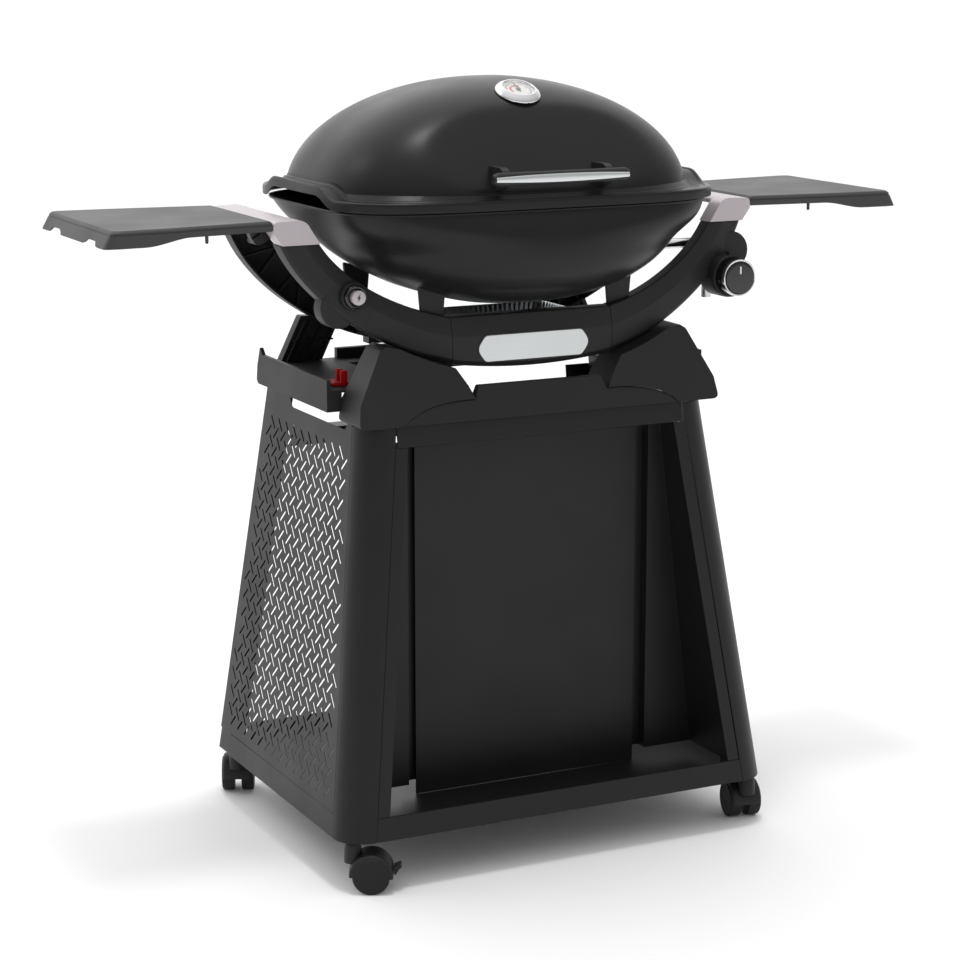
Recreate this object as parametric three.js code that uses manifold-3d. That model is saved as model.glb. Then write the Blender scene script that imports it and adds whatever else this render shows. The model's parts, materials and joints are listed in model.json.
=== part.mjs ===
// Gas barbecue grill on a wheeled cart, with a hinged lid and two folding side tables.
// Units are millimetres. X runs to the grill's right, -Y faces the cook, +Z is up.
// The origin lies on the floor under the middle of the cart.
import * as THREE from 'three';
import { mergeVertices } from 'three/addons/utils/BufferGeometryUtils.js';
import Module from 'manifold-3d';

const wasm = await Module();
wasm.setup();

// ---------- driving dimensions ----------
const GAP = 0.3;                 // clearance left between pieces that touch
const MERGE = 1e-3;              // corners closer than this are one corner
const SHEET = 2;                 // cart sheet thickness

// cart
const FLOOR = 18;                // height of the ground in these drawings, which start below it
const CART_BASE = 95;            // underside of the legs
const BASE_HALF_X = 365;         // half width over the legs at CART_BASE
const BASE_FRONT_Y = 267;        // front of the legs at CART_BASE, in front of the origin
const BASE_REAR_Y = 263;         // back of the legs at CART_BASE
const LEAN_X = 0.1232;           // inward lean of the sides, mm per mm of height
const LEAN_FRONT = 0.1362;       // backward lean of the front
const LEAN_REAR = 0.1;           // forward lean of the back
const LEG_R = 49;                // rounded outer corner of a leg
const LEG_WALL = 3;
const LEG_LIP = 12;
const LEG_FOOT = 12;             // solid foot that takes the caster stem
const LEG_TOP = 694;
const POST = 44;                 // width of an angled rear post
const RAIL_TOP = 130;            // top of the rails around the bottom shelf
const SHELF_FLOOR = 110;
const PANEL_Y = -134;            // front face of the recessed middle panel
const PANEL_HALF_X = 190;
const PANEL_TOP = 653;            // a narrow gap under the front cross member
const WING_INNER_X = 206;
const WING_RETURN_X = 172;       // a wing's inner edge returns behind the middle panel
const GRIP_BOTTOM = 684;         // hand grip cut in the top edge of a side panel
const TRAY_FLOOR = 744;
const TRAY_TOP = 760;
const RAIL_LOW = 712;            // underside of the top rails, over the hand grips
const BEAM_BOTTOM = 665;
const REAR_BEAM_TOP = 632;       // the rear cross member leaves a way through to the tray
const FASCIA_BOTTOM = 697;
const FASCIA_TOP = 746;
const COVER_LEAN = 0.26;         // backward lean of the corner covers' faces

// casters
const WHEEL_R = 28;
const WHEEL_W = 20;
const WHEEL_GAP = 12;            // space for the hood's web between the two wheels
const CASTER_TRAIL = 27;
const CASTER_X = 341;
const CASTER_Y = 238;
const STEM_R = 5.5;
const HOOD_R = 33;

// cradle that carries the bowl
const SEAM_X = 135;              // seam between the middle bar and an arm
const BAR_FRONT = -152;
const BAR_BOTTOM = 767;
const BAR_TOP = 846;
const ARM_DEPTH = 32;
const ARM_LEAN = 0.172;          // the arms lean back towards their tops
const ARM_TOP = 961;
const RAIL_X = 128;              // outer side of the rails for the grease tray
const RAIL_Z = 788;
const PAN_Z = 799;               // underside of the grease tray's frame
const PAN_Y = -42;
const CRADLE_MID_Y = 12;         // the rear cradle mirrors the front one about this plane

// side tables
const TABLE_TOP = 998;
const HINGE_X = 409;
const HINGE_Z = 966;
const TABLE_INNER_X = 402;
const TABLE_TIP_X = 664;
const PIN_R = 3;

// bowl and lid
const LID_Y = 9;                  // middle of the bowl and the lid
const LID_HALF_X = 301;
const LID_HALF_Y = 222;
const LID_BASE = 1013;
const LID_HEIGHT = 176;
const LID_WALL = 3;
const RING = 36;                 // corners in a ring of the bowl or the lid
const LID_SQUARE = 3;             // roundness of the plan outline, 2 is an ellipse
const FACET_Y = -210;            // flat front of the lid at FACET_Z, leaning back above it
const FACET_Z = 1031;
const FACET_LEAN = 0.68;
const FACET_SOFT = 14;
const RIM_HALF_X = 319;
const RIM_HALF_Y = 238;
const RIM_SQUARE = 4.4;
const RIM_BOTTOM = 1009;
const RIM_TOP = 1022;
const HOOD_LIFT = 18;            // the rim arches over a vent on each side
const HOOD_HALF_Y = 81;
const HOOD_RAMP = 54;
const BOWL_RIM = 1008;
const BOWL_HALF_X = 308;
const BOWL_HALF_Y = 227;
const BOWL_SQUARE = 2.45;        // roundness of the bowl's depths, it ends in the rim's
const BOWL_LEAN = 0.6;            // the bowl deepens towards the cook, mm forward per mm down
const BOWL_WALL = 3;
const LID_HINGE_Y = 262;
const LID_HINGE_Z = 1006;

// controls
const CONTROL_X = 357;
const CONTROL_Z = 877;
const BOSS_FACE = -136;
const BOSS_R = 33;
const LOBE_R = 30;               // round back of a control's housing on the arm
const KNOB_FACE = -162;
const KNOB_R = 29;
const IGNITER_X = -283;
const IGNITER_Z = 884;
const IGNITER_FACE = -134;
const TUBE_Y = -60;              // the burner's inlet tube
const TUBE_Z = 923;

// ---------- finishes ----------
function finish(color, roughness, metalness) {
  return () => new THREE.MeshStandardMaterial({ color, roughness, metalness });
}
const blackEnamel = finish(0x2b2b2c, 0.45, 0.2);
const blackPlastic = finish(0x333334, 0.6, 0);
const cartPaint = finish(0x2c2c2d, 0.5, 0.2);
const tablePlastic = finish(0x707071, 0.6, 0);
const silverPlastic = finish(0xa89fa3, 0.4, 0.3);
const chrome = finish(0xd0d0d2, 0.15, 1);
const brushedMetal = finish(0xc8cbcb, 0.35, 0.9);
const redPlastic = finish(0xb00000, 0.5, 0);
const castIron = finish(0x1d1d1e, 0.8, 0.3);
const panMetal = finish(0x9a9da0, 0.4, 0.9);
const wheelPlastic = finish(0x262627, 0.65, 0);

// ---------- geometry helpers ----------
function toSolid(geometry) {
  const bare = geometry.clone();
  bare.deleteAttribute('normal');
  bare.deleteAttribute('uv');
  const merged = mergeVertices(bare, MERGE);
  const vertProperties = new Float32Array(merged.attributes.position.array);
  const faces = [];
  for (let i = 0; i < merged.index.count; i += 3) {
    const [a, b, c] = merged.index.array.slice(i, i + 3);
    if (a !== b && b !== c && c !== a) faces.push(a, b, c);
  }
  const triVerts = new Uint32Array(faces);
  return new wasm.Manifold(new wasm.Mesh({ numProp: 3, vertProperties, triVerts }));
}

function toGeometry(solid) {
  const { vertProperties, triVerts } = solid.getMesh();
  const geometry = new THREE.BufferGeometry();
  geometry.setAttribute('position', new THREE.BufferAttribute(vertProperties, 3));
  geometry.setIndex(new THREE.BufferAttribute(triVerts, 1));
  return geometry;
}

function join(...geometries) {
  return toGeometry(geometries.map(toSolid).reduce((all, next) => all.add(next)));
}

function cut(geometry, ...tools) {
  return toGeometry(tools.map(toSolid).reduce((all, tool) => all.subtract(tool), toSolid(geometry)));
}

function keepInside(geometry, envelope) {
  return toGeometry(toSolid(geometry).intersect(toSolid(envelope)));
}

function box(x0, x1, y0, y1, z0, z1) {
  const geometry = new THREE.BoxGeometry(x1 - x0, y1 - y0, z1 - z0);
  return geometry.translate((x0 + x1) / 2, (y0 + y1) / 2, (z0 + z1) / 2);
}

function outline(points) {
  return new THREE.Shape(points.map(([x, y]) => new THREE.Vector2(x, y)));
}

// A shape drawn in X and Z, as thick as the stretch from yFront to yBack.
function plateXZ(shape, yFront, yBack, curveSegments = 8) {
  const options = { depth: yBack - yFront, bevelEnabled: false, curveSegments };
  return new THREE.ExtrudeGeometry(shape, options).rotateX(Math.PI / 2).translate(0, yBack, 0);
}

// A shape drawn in Y and Z, extruded along X.
function plateYZ(shape, x0, x1, curveSegments = 8) {
  const options = { depth: x1 - x0, bevelEnabled: false, curveSegments };
  const turn = new THREE.Matrix4().makeBasis(
    new THREE.Vector3(0, 1, 0), new THREE.Vector3(0, 0, 1), new THREE.Vector3(1, 0, 0));
  return new THREE.ExtrudeGeometry(shape, options).applyMatrix4(turn).translate(x0, 0, 0);
}

// A shape drawn in X and Y, extruded upwards.
function plateXY(shape, z0, z1, curveSegments = 8) {
  const options = { depth: z1 - z0, bevelEnabled: false, curveSegments };
  return new THREE.ExtrudeGeometry(shape, options).translate(0, 0, z0);
}

function rod(axis, radius, from, to, sides = 20) {
  const geometry = new THREE.CylinderGeometry(radius, radius, to - from, sides);
  geometry.translate(0, (from + to) / 2, 0);
  if (axis === 'x') geometry.rotateZ(-Math.PI / 2);
  if (axis === 'z') geometry.rotateX(Math.PI / 2);
  return geometry;
}

// A turned piece: profile points are [radius, height] and the height runs along Z.
function turned(profile, sides = 32) {
  const points = profile.map(([r, h]) => new THREE.Vector2(r, h));
  return new THREE.LatheGeometry(points, sides).rotateX(Math.PI / 2);
}

// Moves each corner of a geometry by a function of its place.
function bend(geometry, move) {
  const place = geometry.attributes.position;
  const point = new THREE.Vector3();
  for (let i = 0; i < place.count; i += 1) {
    point.fromBufferAttribute(place, i);
    move(point);
    place.setXYZ(i, point.x, point.y, point.z);
  }
  return geometry;
}

function mirrorX(geometry) {
  const flipped = geometry.clone().scale(-1, 1, 1);
  const index = flipped.index ? Array.from(flipped.index.array) : null;
  const order = index ?? Array.from({ length: flipped.attributes.position.count }, (_, i) => i);
  for (let i = 0; i < order.length; i += 3) {
    const first = order[i];
    order[i] = order[i + 1];
    order[i + 1] = first;
  }
  flipped.setIndex(order);
  return flipped;
}

function mirrorY(geometry, middle) {
  const half = mirrorX(geometry.clone().rotateZ(Math.PI / 2));
  return half.rotateZ(-Math.PI / 2).translate(0, 2 * middle, 0);
}

// A solid skinned over closed rings of points that follow one another, with flat ends.
function skin(rings) {
  const count = rings[0].length;
  const corners = rings.flat().flatMap((p) => [p.x, p.y, p.z]);
  const faces = [];
  for (let i = 0; i < rings.length - 1; i += 1) {
    for (let j = 0; j < count; j += 1) {
      const a = i * count + j;
      const b = i * count + ((j + 1) % count);
      faces.push(a, b, b + count, a, b + count, a + count);
    }
  }
  const flat = rings[0].map((p) => new THREE.Vector2(p.x, p.y));
  const ends = THREE.ShapeUtils.triangulateShape(flat, []);
  const clockwise = THREE.ShapeUtils.isClockWise(flat);
  const last = (rings.length - 1) * count;
  for (const end of ends) {
    const [a, b, c] = clockwise ? end.reverse() : end;
    faces.push(a, c, b, last + a, last + b, last + c);
  }
  const geometry = new THREE.BufferGeometry();
  geometry.setAttribute('position', new THREE.Float32BufferAttribute(corners, 3));
  geometry.setIndex(faces);
  return geometry;
}

const grill = new THREE.Group();

function add(name, geometry, material) {
  const mesh = new THREE.Mesh(geometry, material());
  mesh.name = name;
  grill.add(mesh);
  return mesh;
}

const sideX = (z) => BASE_HALF_X - LEAN_X * (z - CART_BASE);
const frontY = (z) => BASE_FRONT_Y - LEAN_FRONT * (z - CART_BASE);
const rearY = (z) => BASE_REAR_Y - LEAN_REAR * (z - CART_BASE);

// Leans a piece on the right side, drawn upright at CART_BASE, inwards with height.
function lean(geometry, leanY) {
  return bend(geometry, (p) => {
    p.x -= LEAN_X * (p.z - CART_BASE);
    p.y += leanY * (p.z - CART_BASE);
  });
}

// Puts a piece of the right side on both sides.
function pair(name, geometry, material) {
  add(`${name}_right`, geometry, material);
  add(`${name}_left`, mirrorX(geometry), material);
}

// ---------- cart ----------
function frontLeg() {
  const cx = BASE_HALF_X - LEG_R;
  const cy = -(BASE_FRONT_Y - LEG_R);
  const inner = LEG_R - LEG_WALL;
  const edge = Math.asin(LEG_WALL / inner);
  const channel = new THREE.Shape();
  channel.moveTo(LEG_R - LEG_LIP, 0);
  channel.lineTo(LEG_R - LEG_LIP, -LEG_WALL);
  channel.absarc(0, 0, inner, -edge, -Math.PI / 2 + edge, true);
  channel.lineTo(LEG_WALL, -(LEG_R - LEG_LIP));
  channel.lineTo(0, -(LEG_R - LEG_LIP));
  channel.lineTo(0, -LEG_R);
  channel.absarc(0, 0, LEG_R, -Math.PI / 2, 0, false);
  const foot = new THREE.Shape();
  foot.moveTo(0, 0);
  foot.lineTo(0, -LEG_R);
  foot.absarc(0, 0, LEG_R, -Math.PI / 2, 0, false);
  const tall = plateXY(channel, CART_BASE, LEG_TOP);
  const floor = plateXY(foot, CART_BASE, CART_BASE + LEG_FOOT);
  const shell = lean(join(tall, floor).translate(cx, cy, 0), LEAN_FRONT);
  return cut(shell, stemBore().translate(CASTER_X, -CASTER_Y, 0));
}

function stemBore() {
  return rod('z', STEM_R + 2 * GAP, CART_BASE - 5, CART_BASE + LEG_FOOT + 1, 12);
}

// A rear post is an angle behind the side panel's back edge, with a solid foot.
function rearPost() {
  const x = BASE_HALF_X - SHEET - GAP;
  const y = BASE_REAR_Y;
  const angle = outline([[x - POST, y - LEG_WALL], [x - LEG_WALL, y - LEG_WALL], [x - LEG_WALL, y - POST],
    [x, y - POST], [x, y], [x - POST, y]]);
  const tall = plateXY(angle, CART_BASE, LEG_TOP);
  const foot = box(x - POST, x, y - POST, y, CART_BASE, CART_BASE + LEG_FOOT);
  return cut(lean(join(tall, foot), -LEAN_REAR), stemBore().translate(CASTER_X, CASTER_Y, 0));
}

// The bottom shelf is a pressed pan whose rim is the rail seen between the legs.
function bottomShelf() {
  const plan = (inset) => {
    const x = BASE_HALF_X - inset;
    const front = -BASE_FRONT_Y + inset;
    const rear = BASE_REAR_Y - inset;
    const legX = BASE_HALF_X - LEG_R - GAP - inset;
    const legY = -BASE_FRONT_Y + LEG_R + GAP + inset;
    const postX = BASE_HALF_X - POST - 4 - inset;
    const postY = BASE_REAR_Y - POST - 2 - inset;
    return outline([[-legX, front], [legX, front], [legX, legY], [x, legY], [x, postY], [postX, postY],
      [postX, rear], [-postX, rear], [-postX, postY], [-x, postY], [-x, legY], [-legX, legY]]);
  };
  const slope = (geometry) => bend(geometry, (p) => {
    p.x -= Math.sign(p.x) * LEAN_X * (p.z - CART_BASE);
    p.y += (p.y < 0 ? LEAN_FRONT : -LEAN_REAR) * (p.z - CART_BASE);
  });
  const outer = slope(plateXY(plan(0), CART_BASE, RAIL_TOP));
  const upper = plateXY(plan(8), SHELF_FLOOR, RAIL_TOP + 1);
  const lower = slope(plateXY(plan(3), CART_BASE - 1, SHELF_FLOOR - 3));
  return cut(outer, upper, lower);
}

// A sheet side panel in the leaning side plane, with the hand grip in its top edge.
function sidePanel() {
  const z0 = RAIL_TOP + 0.6;
  const top = TRAY_TOP - 52;
  const seam = (z) => frontY(z) - LEG_R - GAP;
  const gripFront = -110;
  const gripBack = 95;
  const chamfer = 21;
  const shape = outline([
    [-seam(z0), z0], [rearY(z0), z0], [rearY(top), top], [gripBack + chamfer, top],
    [gripBack, GRIP_BOTTOM], [gripFront, GRIP_BOTTOM], [gripFront - chamfer, top], [-seam(top), top],
  ]);
  const plate = plateYZ(shape, BASE_HALF_X - SHEET, BASE_HALF_X);
  return bend(plate, (p) => { p.x -= LEAN_X * (p.z - CART_BASE); });
}

// The recessed front: a flat middle panel and two wings that run out to the leg seams.
function frontPanel() {
  return box(-PANEL_HALF_X, PANEL_HALF_X, PANEL_Y, PANEL_Y + SHEET, SHELF_FLOOR + GAP, PANEL_TOP);
}

function wing() {
  const z0 = RAIL_TOP + GAP;
  const z1 = BEAM_BOTTOM - GAP;
  const stile = 20;
  const step = 10;
  const section = (z) => {
    const x = sideX(z) - LEG_R - 1;
    const y = -frontY(z) + 1;
    return [
      [WING_INNER_X, PANEL_Y - step], [x - stile, PANEL_Y - step],
      [x - stile, y], [x, y], [x, y + SHEET], [x - stile + SHEET, y + SHEET],
      [x - stile + SHEET, PANEL_Y - step + SHEET], [WING_INNER_X + SHEET, PANEL_Y - step + SHEET],
      [WING_INNER_X + SHEET, PANEL_Y + 12], [WING_RETURN_X, PANEL_Y + 12],
      [WING_RETURN_X, PANEL_Y + 12 - SHEET], [WING_INNER_X, PANEL_Y + 12 - SHEET],
    ].map(([px, py]) => new THREE.Vector3(px, py, z));
  };
  return skin([section(z0), section(z1)]);
}

// Cross members under the fascia and at the back, folded from sheet as an L.
function crossbeam(faceY, half, zLow, zTop) {
  const out = Math.sign(faceY(0));
  const low = faceY(zLow);
  const high = faceY(zTop);
  const section = [[low, zLow], [low - out * SHEET, zLow], [high - out * SHEET, zTop - SHEET],
    [high - out * 38, zTop - SHEET], [high - out * 38, zTop], [high, zTop]];
  return plateYZ(outline(section), -half, half);
}

// The corner cover: a tapering hood over the top of a front leg that carries an arm of the cradle.
function shroud() {
  const shape = new THREE.Shape();
  shape.moveTo(232, 697);
  shape.lineTo(291, 697);
  shape.quadraticCurveTo(303, 697, 302, 706);
  shape.lineTo(298, 731);
  shape.lineTo(258, 806);
  shape.lineTo(248, 812);
  shape.lineTo(150, 790);
  shape.lineTo(122, 748);
  shape.lineTo(112, 728);
  shape.quadraticCurveTo(200, 730, 232, 697);
  const back = -112;
  const body = plateXZ(shape, -frontY(697) - 8, back, 6);
  const hollow = outline([[190, 690], [296, 690], [292, 726], [256, 786], [176, 764], [150, 742]]);
  const leaned = bend(body, (p) => {
    if (p.y < back - 1) p.y += COVER_LEAN * (p.z - 697);
  });
  const inside = bend(plateXZ(hollow, -frontY(697) - 4, back + 1, 6), (p) => {
    if (p.y < back - 1) p.y += COVER_LEAN * (p.z - 697) + 1;
  });
  return cut(leaned, inside, armEnvelope());
}

// Space kept clear around an arm of the front cradle, so that the corner cover seats under it.
function armEnvelope() {
  const shape = new THREE.Shape();
  shape.moveTo(SEAM_X - 20, 772);
  shape.lineTo(SEAM_X + 3, 774 - GAP);
  shape.bezierCurveTo(215, 793 - GAP, 345 + GAP, 860, 388 + GAP, ARM_TOP);
  shape.lineTo(250, ARM_TOP);
  shape.lineTo(SEAM_X - 20, 900);
  return plateXZ(shape, -300, 0, 12);
}

function fascia() {
  const half = 232;
  const shape = new THREE.Shape();
  const seam = 2 * GAP;
  shape.moveTo(-half + seam, FASCIA_BOTTOM);
  shape.lineTo(half - seam, FASCIA_BOTTOM);
  shape.quadraticCurveTo(200 - seam, 730 - seam, 112 - seam, 728 - seam);
  shape.lineTo(104, FASCIA_TOP);
  shape.lineTo(-104, FASCIA_TOP);
  shape.lineTo(-112 + seam, 728 - seam);
  shape.quadraticCurveTo(-200 + seam, 730 - seam, -half + seam, FASCIA_BOTTOM);
  const face = -frontY(FASCIA_BOTTOM) - 7;
  const body = bend(plateXZ(shape, face, face + 28), (p) => {
    if (p.y < face + 1) p.y += 0.35 * (p.z - FASCIA_BOTTOM);
  });
  return body;
}

// A top rail runs from the front cover to the rear corner on each side and is the tray's edge.
function topRail() {
  const wall = outline([[-111 + GAP, RAIL_LOW], [166, RAIL_LOW], [172, 718], [168, 742], [156, 770],
    [146, TRAY_TOP], [-111 + GAP, TRAY_TOP]]);
  const side = plateYZ(wall, 314, 320);
  const floor = box(190, 314.5, -111 + GAP, 166, TRAY_FLOOR - 4, TRAY_FLOOR);
  const ledge = box(296, 315, -111 + GAP, 168, RAIL_LOW, TRAY_FLOOR);
  const hollow = box(299, 312, -105, 162, RAIL_LOW - 5, TRAY_FLOOR - 4);
  return cut(join(side, floor, ledge), hollow);
}

function rearBeam() {
  const half = 190 - GAP;
  const wall = box(-half, half, 156, 168, RAIL_LOW + 3, TRAY_TOP);
  return join(wall, box(-half, half, 110, 160, TRAY_FLOOR - 4, TRAY_FLOOR));
}

function addCart() {
  pair('leg_front', frontLeg(), cartPaint);
  pair('post_rear', rearPost(), cartPaint);
  add('bottom_shelf', bottomShelf(), cartPaint);
  pair('side_panel', sidePanel(), cartPaint);
  add('front_panel', frontPanel(), cartPaint);
  pair('panel_wing', wing(), cartPaint);
  const frontHalf = sideX(FASCIA_BOTTOM) - LEG_R - 1;
  const frontBeam = crossbeam((z) => 2 - frontY(z), frontHalf, BEAM_BOTTOM, FASCIA_BOTTOM - GAP);
  add('crossbeam_front', frontBeam, cartPaint);
  const rearHalf = sideX(REAR_BEAM_TOP) - POST - 5;
  const rearBar = crossbeam((z) => rearY(z) - 4, rearHalf, REAR_BEAM_TOP - 34, REAR_BEAM_TOP);
  add('crossbeam_rear', rearBar, cartPaint);
  pair('corner_cover', shroud(), blackPlastic);
  add('fascia', fascia(), blackPlastic);
  pair('top_rail', topRail(), blackPlastic);
  add('rear_beam', rearBeam(), blackPlastic);
}

// ---------- casters ----------
// A hood with its stem, drawn with the stem on the Z axis and the wheels trailing towards +Y.
function casterHood() {
  const cover = new THREE.Shape();
  const start = -0.15;
  const end = Math.PI * 1.02;
  cover.absarc(CASTER_TRAIL, WHEEL_R, HOOD_R, start, end, false);
  cover.absarc(CASTER_TRAIL, WHEEL_R, HOOD_R - 3, end, start, true);
  const half = WHEEL_W + WHEEL_GAP / 2;
  const fender = plateYZ(cover, -half + 2, half - 2, 7);
  const web = new THREE.Shape();
  web.absarc(CASTER_TRAIL, WHEEL_R, HOOD_R - 1, start, end, false);
  web.absarc(CASTER_TRAIL, WHEEL_R, 9, end, Math.PI * 2 + start, false);
  const plate = plateYZ(web, -WHEEL_GAP / 2 + 1, WHEEL_GAP / 2 - 1, 7);
  const neck = rod('z', 12, 42, CART_BASE - FLOOR - 4, 10);
  const stem = rod('z', STEM_R, CART_BASE - FLOOR - 5, CART_BASE - FLOOR + LEG_FOOT, 10);
  const bore = rod('x', 4.6, -40, 40, 10).translate(0, CASTER_TRAIL, WHEEL_R);
  const room = rod('x', HOOD_R - 3.2, -half - 1, -WHEEL_GAP / 2 + 1, 14);
  room.translate(0, CASTER_TRAIL, WHEEL_R);
  return cut(join(fender, plate, cut(neck, room, mirrorX(room)), stem), bore);
}

function wheelPair() {
  const half = WHEEL_W + WHEEL_GAP / 2;
  const gap = WHEEL_GAP / 2;
  const profile = [[0, -half], [24, -half], [WHEEL_R, -half + 3], [WHEEL_R, -gap],
    [4, -gap], [4, gap], [WHEEL_R, gap], [WHEEL_R, half - 3], [24, half], [0, half]];
  return turned(profile, 20).rotateY(Math.PI / 2).translate(0, CASTER_TRAIL, WHEEL_R);
}

// The brake pedal sits behind the wheels and presses a tongue towards them.
function brakePedal() {
  const y = CASTER_TRAIL + HOOD_R;
  const shape = new THREE.Shape();
  shape.moveTo(y + 0.6, 38);
  shape.lineTo(y + 10, 42);
  shape.lineTo(y + 12, 38);
  shape.lineTo(y + 8, 34);
  shape.lineTo(y + 3, 26);
  shape.lineTo(y + 0.8, 26);
  return plateYZ(shape, -9, 9);
}

function addCasters() {
  const places = [
    ['front_left', -CASTER_X, -CASTER_Y, -116],
    ['front_right', CASTER_X, -CASTER_Y, -12],
    ['rear_left', -CASTER_X, CASTER_Y, -24],
    ['rear_right', CASTER_X, CASTER_Y, -30],
  ];
  for (const [name, x, y, degrees] of places) {
    const turn = THREE.MathUtils.degToRad(degrees);
    const parts = [
      [`caster_hood_${name}`, casterHood(), blackPlastic],
      [`caster_wheels_${name}`, wheelPair(), wheelPlastic],
    ];
    if (name.startsWith('front')) {
      parts.push([`brake_pedal_${name}`, brakePedal(), blackPlastic]);
    }
    for (const [node, geometry, material] of parts) {
      const mesh = add(node, geometry, material);
      mesh.rotation.z = turn;
      mesh.position.set(x, y, FLOOR);
    }
  }
}

// ---------- cradle ----------
const armLean = (x) => ARM_LEAN * Math.max(0, Math.abs(x) - SEAM_X);

function cradleBar() {
  const shape = new THREE.Shape();
  shape.moveTo(-SEAM_X + GAP, 775);
  shape.lineTo(-88, BAR_BOTTOM + 1);
  shape.quadraticCurveTo(0, BAR_BOTTOM - 6, 88, BAR_BOTTOM + 1);
  shape.lineTo(SEAM_X - GAP, 775);
  shape.lineTo(SEAM_X - GAP, BAR_TOP);
  shape.lineTo(-SEAM_X + GAP, BAR_TOP);
  const body = plateXZ(shape, BAR_FRONT, BAR_FRONT + ARM_DEPTH);
  const half = SEAM_X - 6;
  const channel = box(-half, half, BAR_FRONT + 4, BAR_FRONT + ARM_DEPTH + 1, 779, BAR_TOP - 4);
  return cut(body, channel);
}

function armShape() {
  const shape = new THREE.Shape();
  shape.moveTo(SEAM_X, 775);
  shape.bezierCurveTo(215, 793, 345, 860, 388, ARM_TOP - GAP);
  shape.lineTo(328, ARM_TOP - GAP);
  shape.bezierCurveTo(297, 910, 225, 864, SEAM_X, BAR_TOP);
  return shape;
}

function arm() {
  const body = plateXZ(armShape(), BAR_FRONT, BAR_FRONT + ARM_DEPTH, 14);
  const prop = outline([[141, 835], [172, 835], [179, 905], [134, 905]]);
  const tab = plateXZ(prop, BAR_FRONT + 22, BAR_FRONT + 30);
  const leaned = bend(body, (p) => { p.y += armLean(p.x); });
  return cut(join(leaned, tab), bowlEnvelope(GAP));
}

function armRight() {
  const face = BAR_FRONT + armLean(345);
  const boss = rod('y', BOSS_R, BOSS_FACE, face + ARM_DEPTH - 8, 28).translate(CONTROL_X, 0, CONTROL_Z);
  const lobe = rod('y', LOBE_R, face + 2, face + ARM_DEPTH - 4, 20).translate(370, 0, 914);
  const bore = rod('y', 9, BOSS_FACE - 5, 0, 20).translate(CONTROL_X, 0, CONTROL_Z);
  return cut(join(arm(), boss, lobe), bore);
}

function armLeft() {
  const face = BAR_FRONT + armLean(322);
  const boss = rod('y', 21, IGNITER_FACE, face + 20, 28).translate(IGNITER_X, 0, IGNITER_Z);
  const lobe = rod('y', LOBE_R, face, face + ARM_DEPTH - 4, 28).translate(-302, 0, 866);
  const bore = rod('y', 12, IGNITER_FACE - 5, 0, 20).translate(IGNITER_X, 0, IGNITER_Z);
  return cut(join(mirrorX(arm()), boss, lobe), bore);
}

// The rear cradle is one moulding: a middle bar, two arms, two feet that stand on the top rails,
// and two rails that the grease tray slides on.
function cradleRear() {
  const half = arm();
  const foot = plateXZ(outline([[184, 812], [252, 816], [286, TRAY_FLOOR + GAP], [218, TRAY_FLOOR + GAP]]),
    BAR_FRONT + 6, BAR_FRONT + 28);
  const right = join(half, foot);
  const arms = mirrorY(join(right, mirrorX(right)), CRADLE_MID_Y);
  const rear = 2 * CRADLE_MID_Y - BAR_FRONT - 2;
  const bar = box(-SEAM_X - 2, SEAM_X + 2, rear - 24, rear, RAIL_Z - 24, RAIL_Z + 2);
  const rail = join(
    box(RAIL_X - 14, RAIL_X, BAR_FRONT + ARM_DEPTH + GAP, rear - 2, RAIL_Z, PAN_Z - GAP),
    box(RAIL_X - 5, RAIL_X, BAR_FRONT + ARM_DEPTH + GAP, rear - 2, RAIL_Z, PAN_Z + 9),
  );
  return cut(join(arms, bar, rail, mirrorX(rail)), bowlEnvelope(GAP));
}

// The silver bracket caps the two arm tops and runs between them as the table's hinge rail.
function tableBracket() {
  const cap = new THREE.Shape();
  cap.moveTo(328.5, ARM_TOP);
  cap.lineTo(387, ARM_TOP);
  cap.lineTo(401, 980);
  cap.lineTo(401, 988);
  cap.quadraticCurveTo(401, 996, 393, 996);
  cap.lineTo(362, 997);
  cap.quadraticCurveTo(349, 996, 344, 985);
  const front = BAR_FRONT + armLean(358) - 1;
  const skirt = plateXZ(cap, front, front + ARM_DEPTH, 5);
  const rearSkirt = mirrorY(skirt, CRADLE_MID_Y);
  const rear = 2 * CRADLE_MID_Y - front;
  const strip = new THREE.Shape();
  strip.moveTo(353, 986);
  strip.lineTo(401, 986);
  strip.lineTo(401, 988);
  strip.quadraticCurveTo(401, 996, 393, 996);
  strip.lineTo(362, 997);
  strip.quadraticCurveTo(355, 996, 353, 990);
  const pieces = [skirt, rearSkirt, plateXZ(strip, front + 1, rear - 1, 5)];
  for (const y of [-60, 84]) {
    const ear = new THREE.Shape();
    ear.moveTo(385, 987);
    ear.lineTo(385, 970);
    ear.lineTo(HINGE_X - 3, HINGE_Z - 6);
    ear.absarc(HINGE_X, HINGE_Z, 6, -Math.PI / 2, Math.PI / 2, false);
    ear.lineTo(400.9, 978);
    ear.lineTo(400.9, 987);
    pieces.push(plateXZ(ear, y - 13, y - 8, 4));
    pieces.push(plateXZ(ear, y + 8, y + 13, 4));
    pieces.push(rod('y', PIN_R, y - 10, y + 10, 10).translate(HINGE_X, 0, HINGE_Z));
  }
  return join(...pieces);
}

// ---------- bowl ----------
// A plan outline between an ellipse and a rectangle.
function planPoint(angle, halfX, halfY, z, square) {
  const power = 2 / square;
  const c = Math.cos(angle);
  const s = Math.sin(angle);
  const x = Math.sign(c) * Math.abs(c) ** power * halfX;
  const y = Math.sign(s) * Math.abs(s) ** power * halfY;
  return new THREE.Vector3(x, LID_Y + y, z);
}

function planRing(halfX, halfY, z, square) {
  return Array.from({ length: RING }, (_, i) => planPoint((i / RING) * Math.PI * 2, halfX, halfY, z, square));
}

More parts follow.
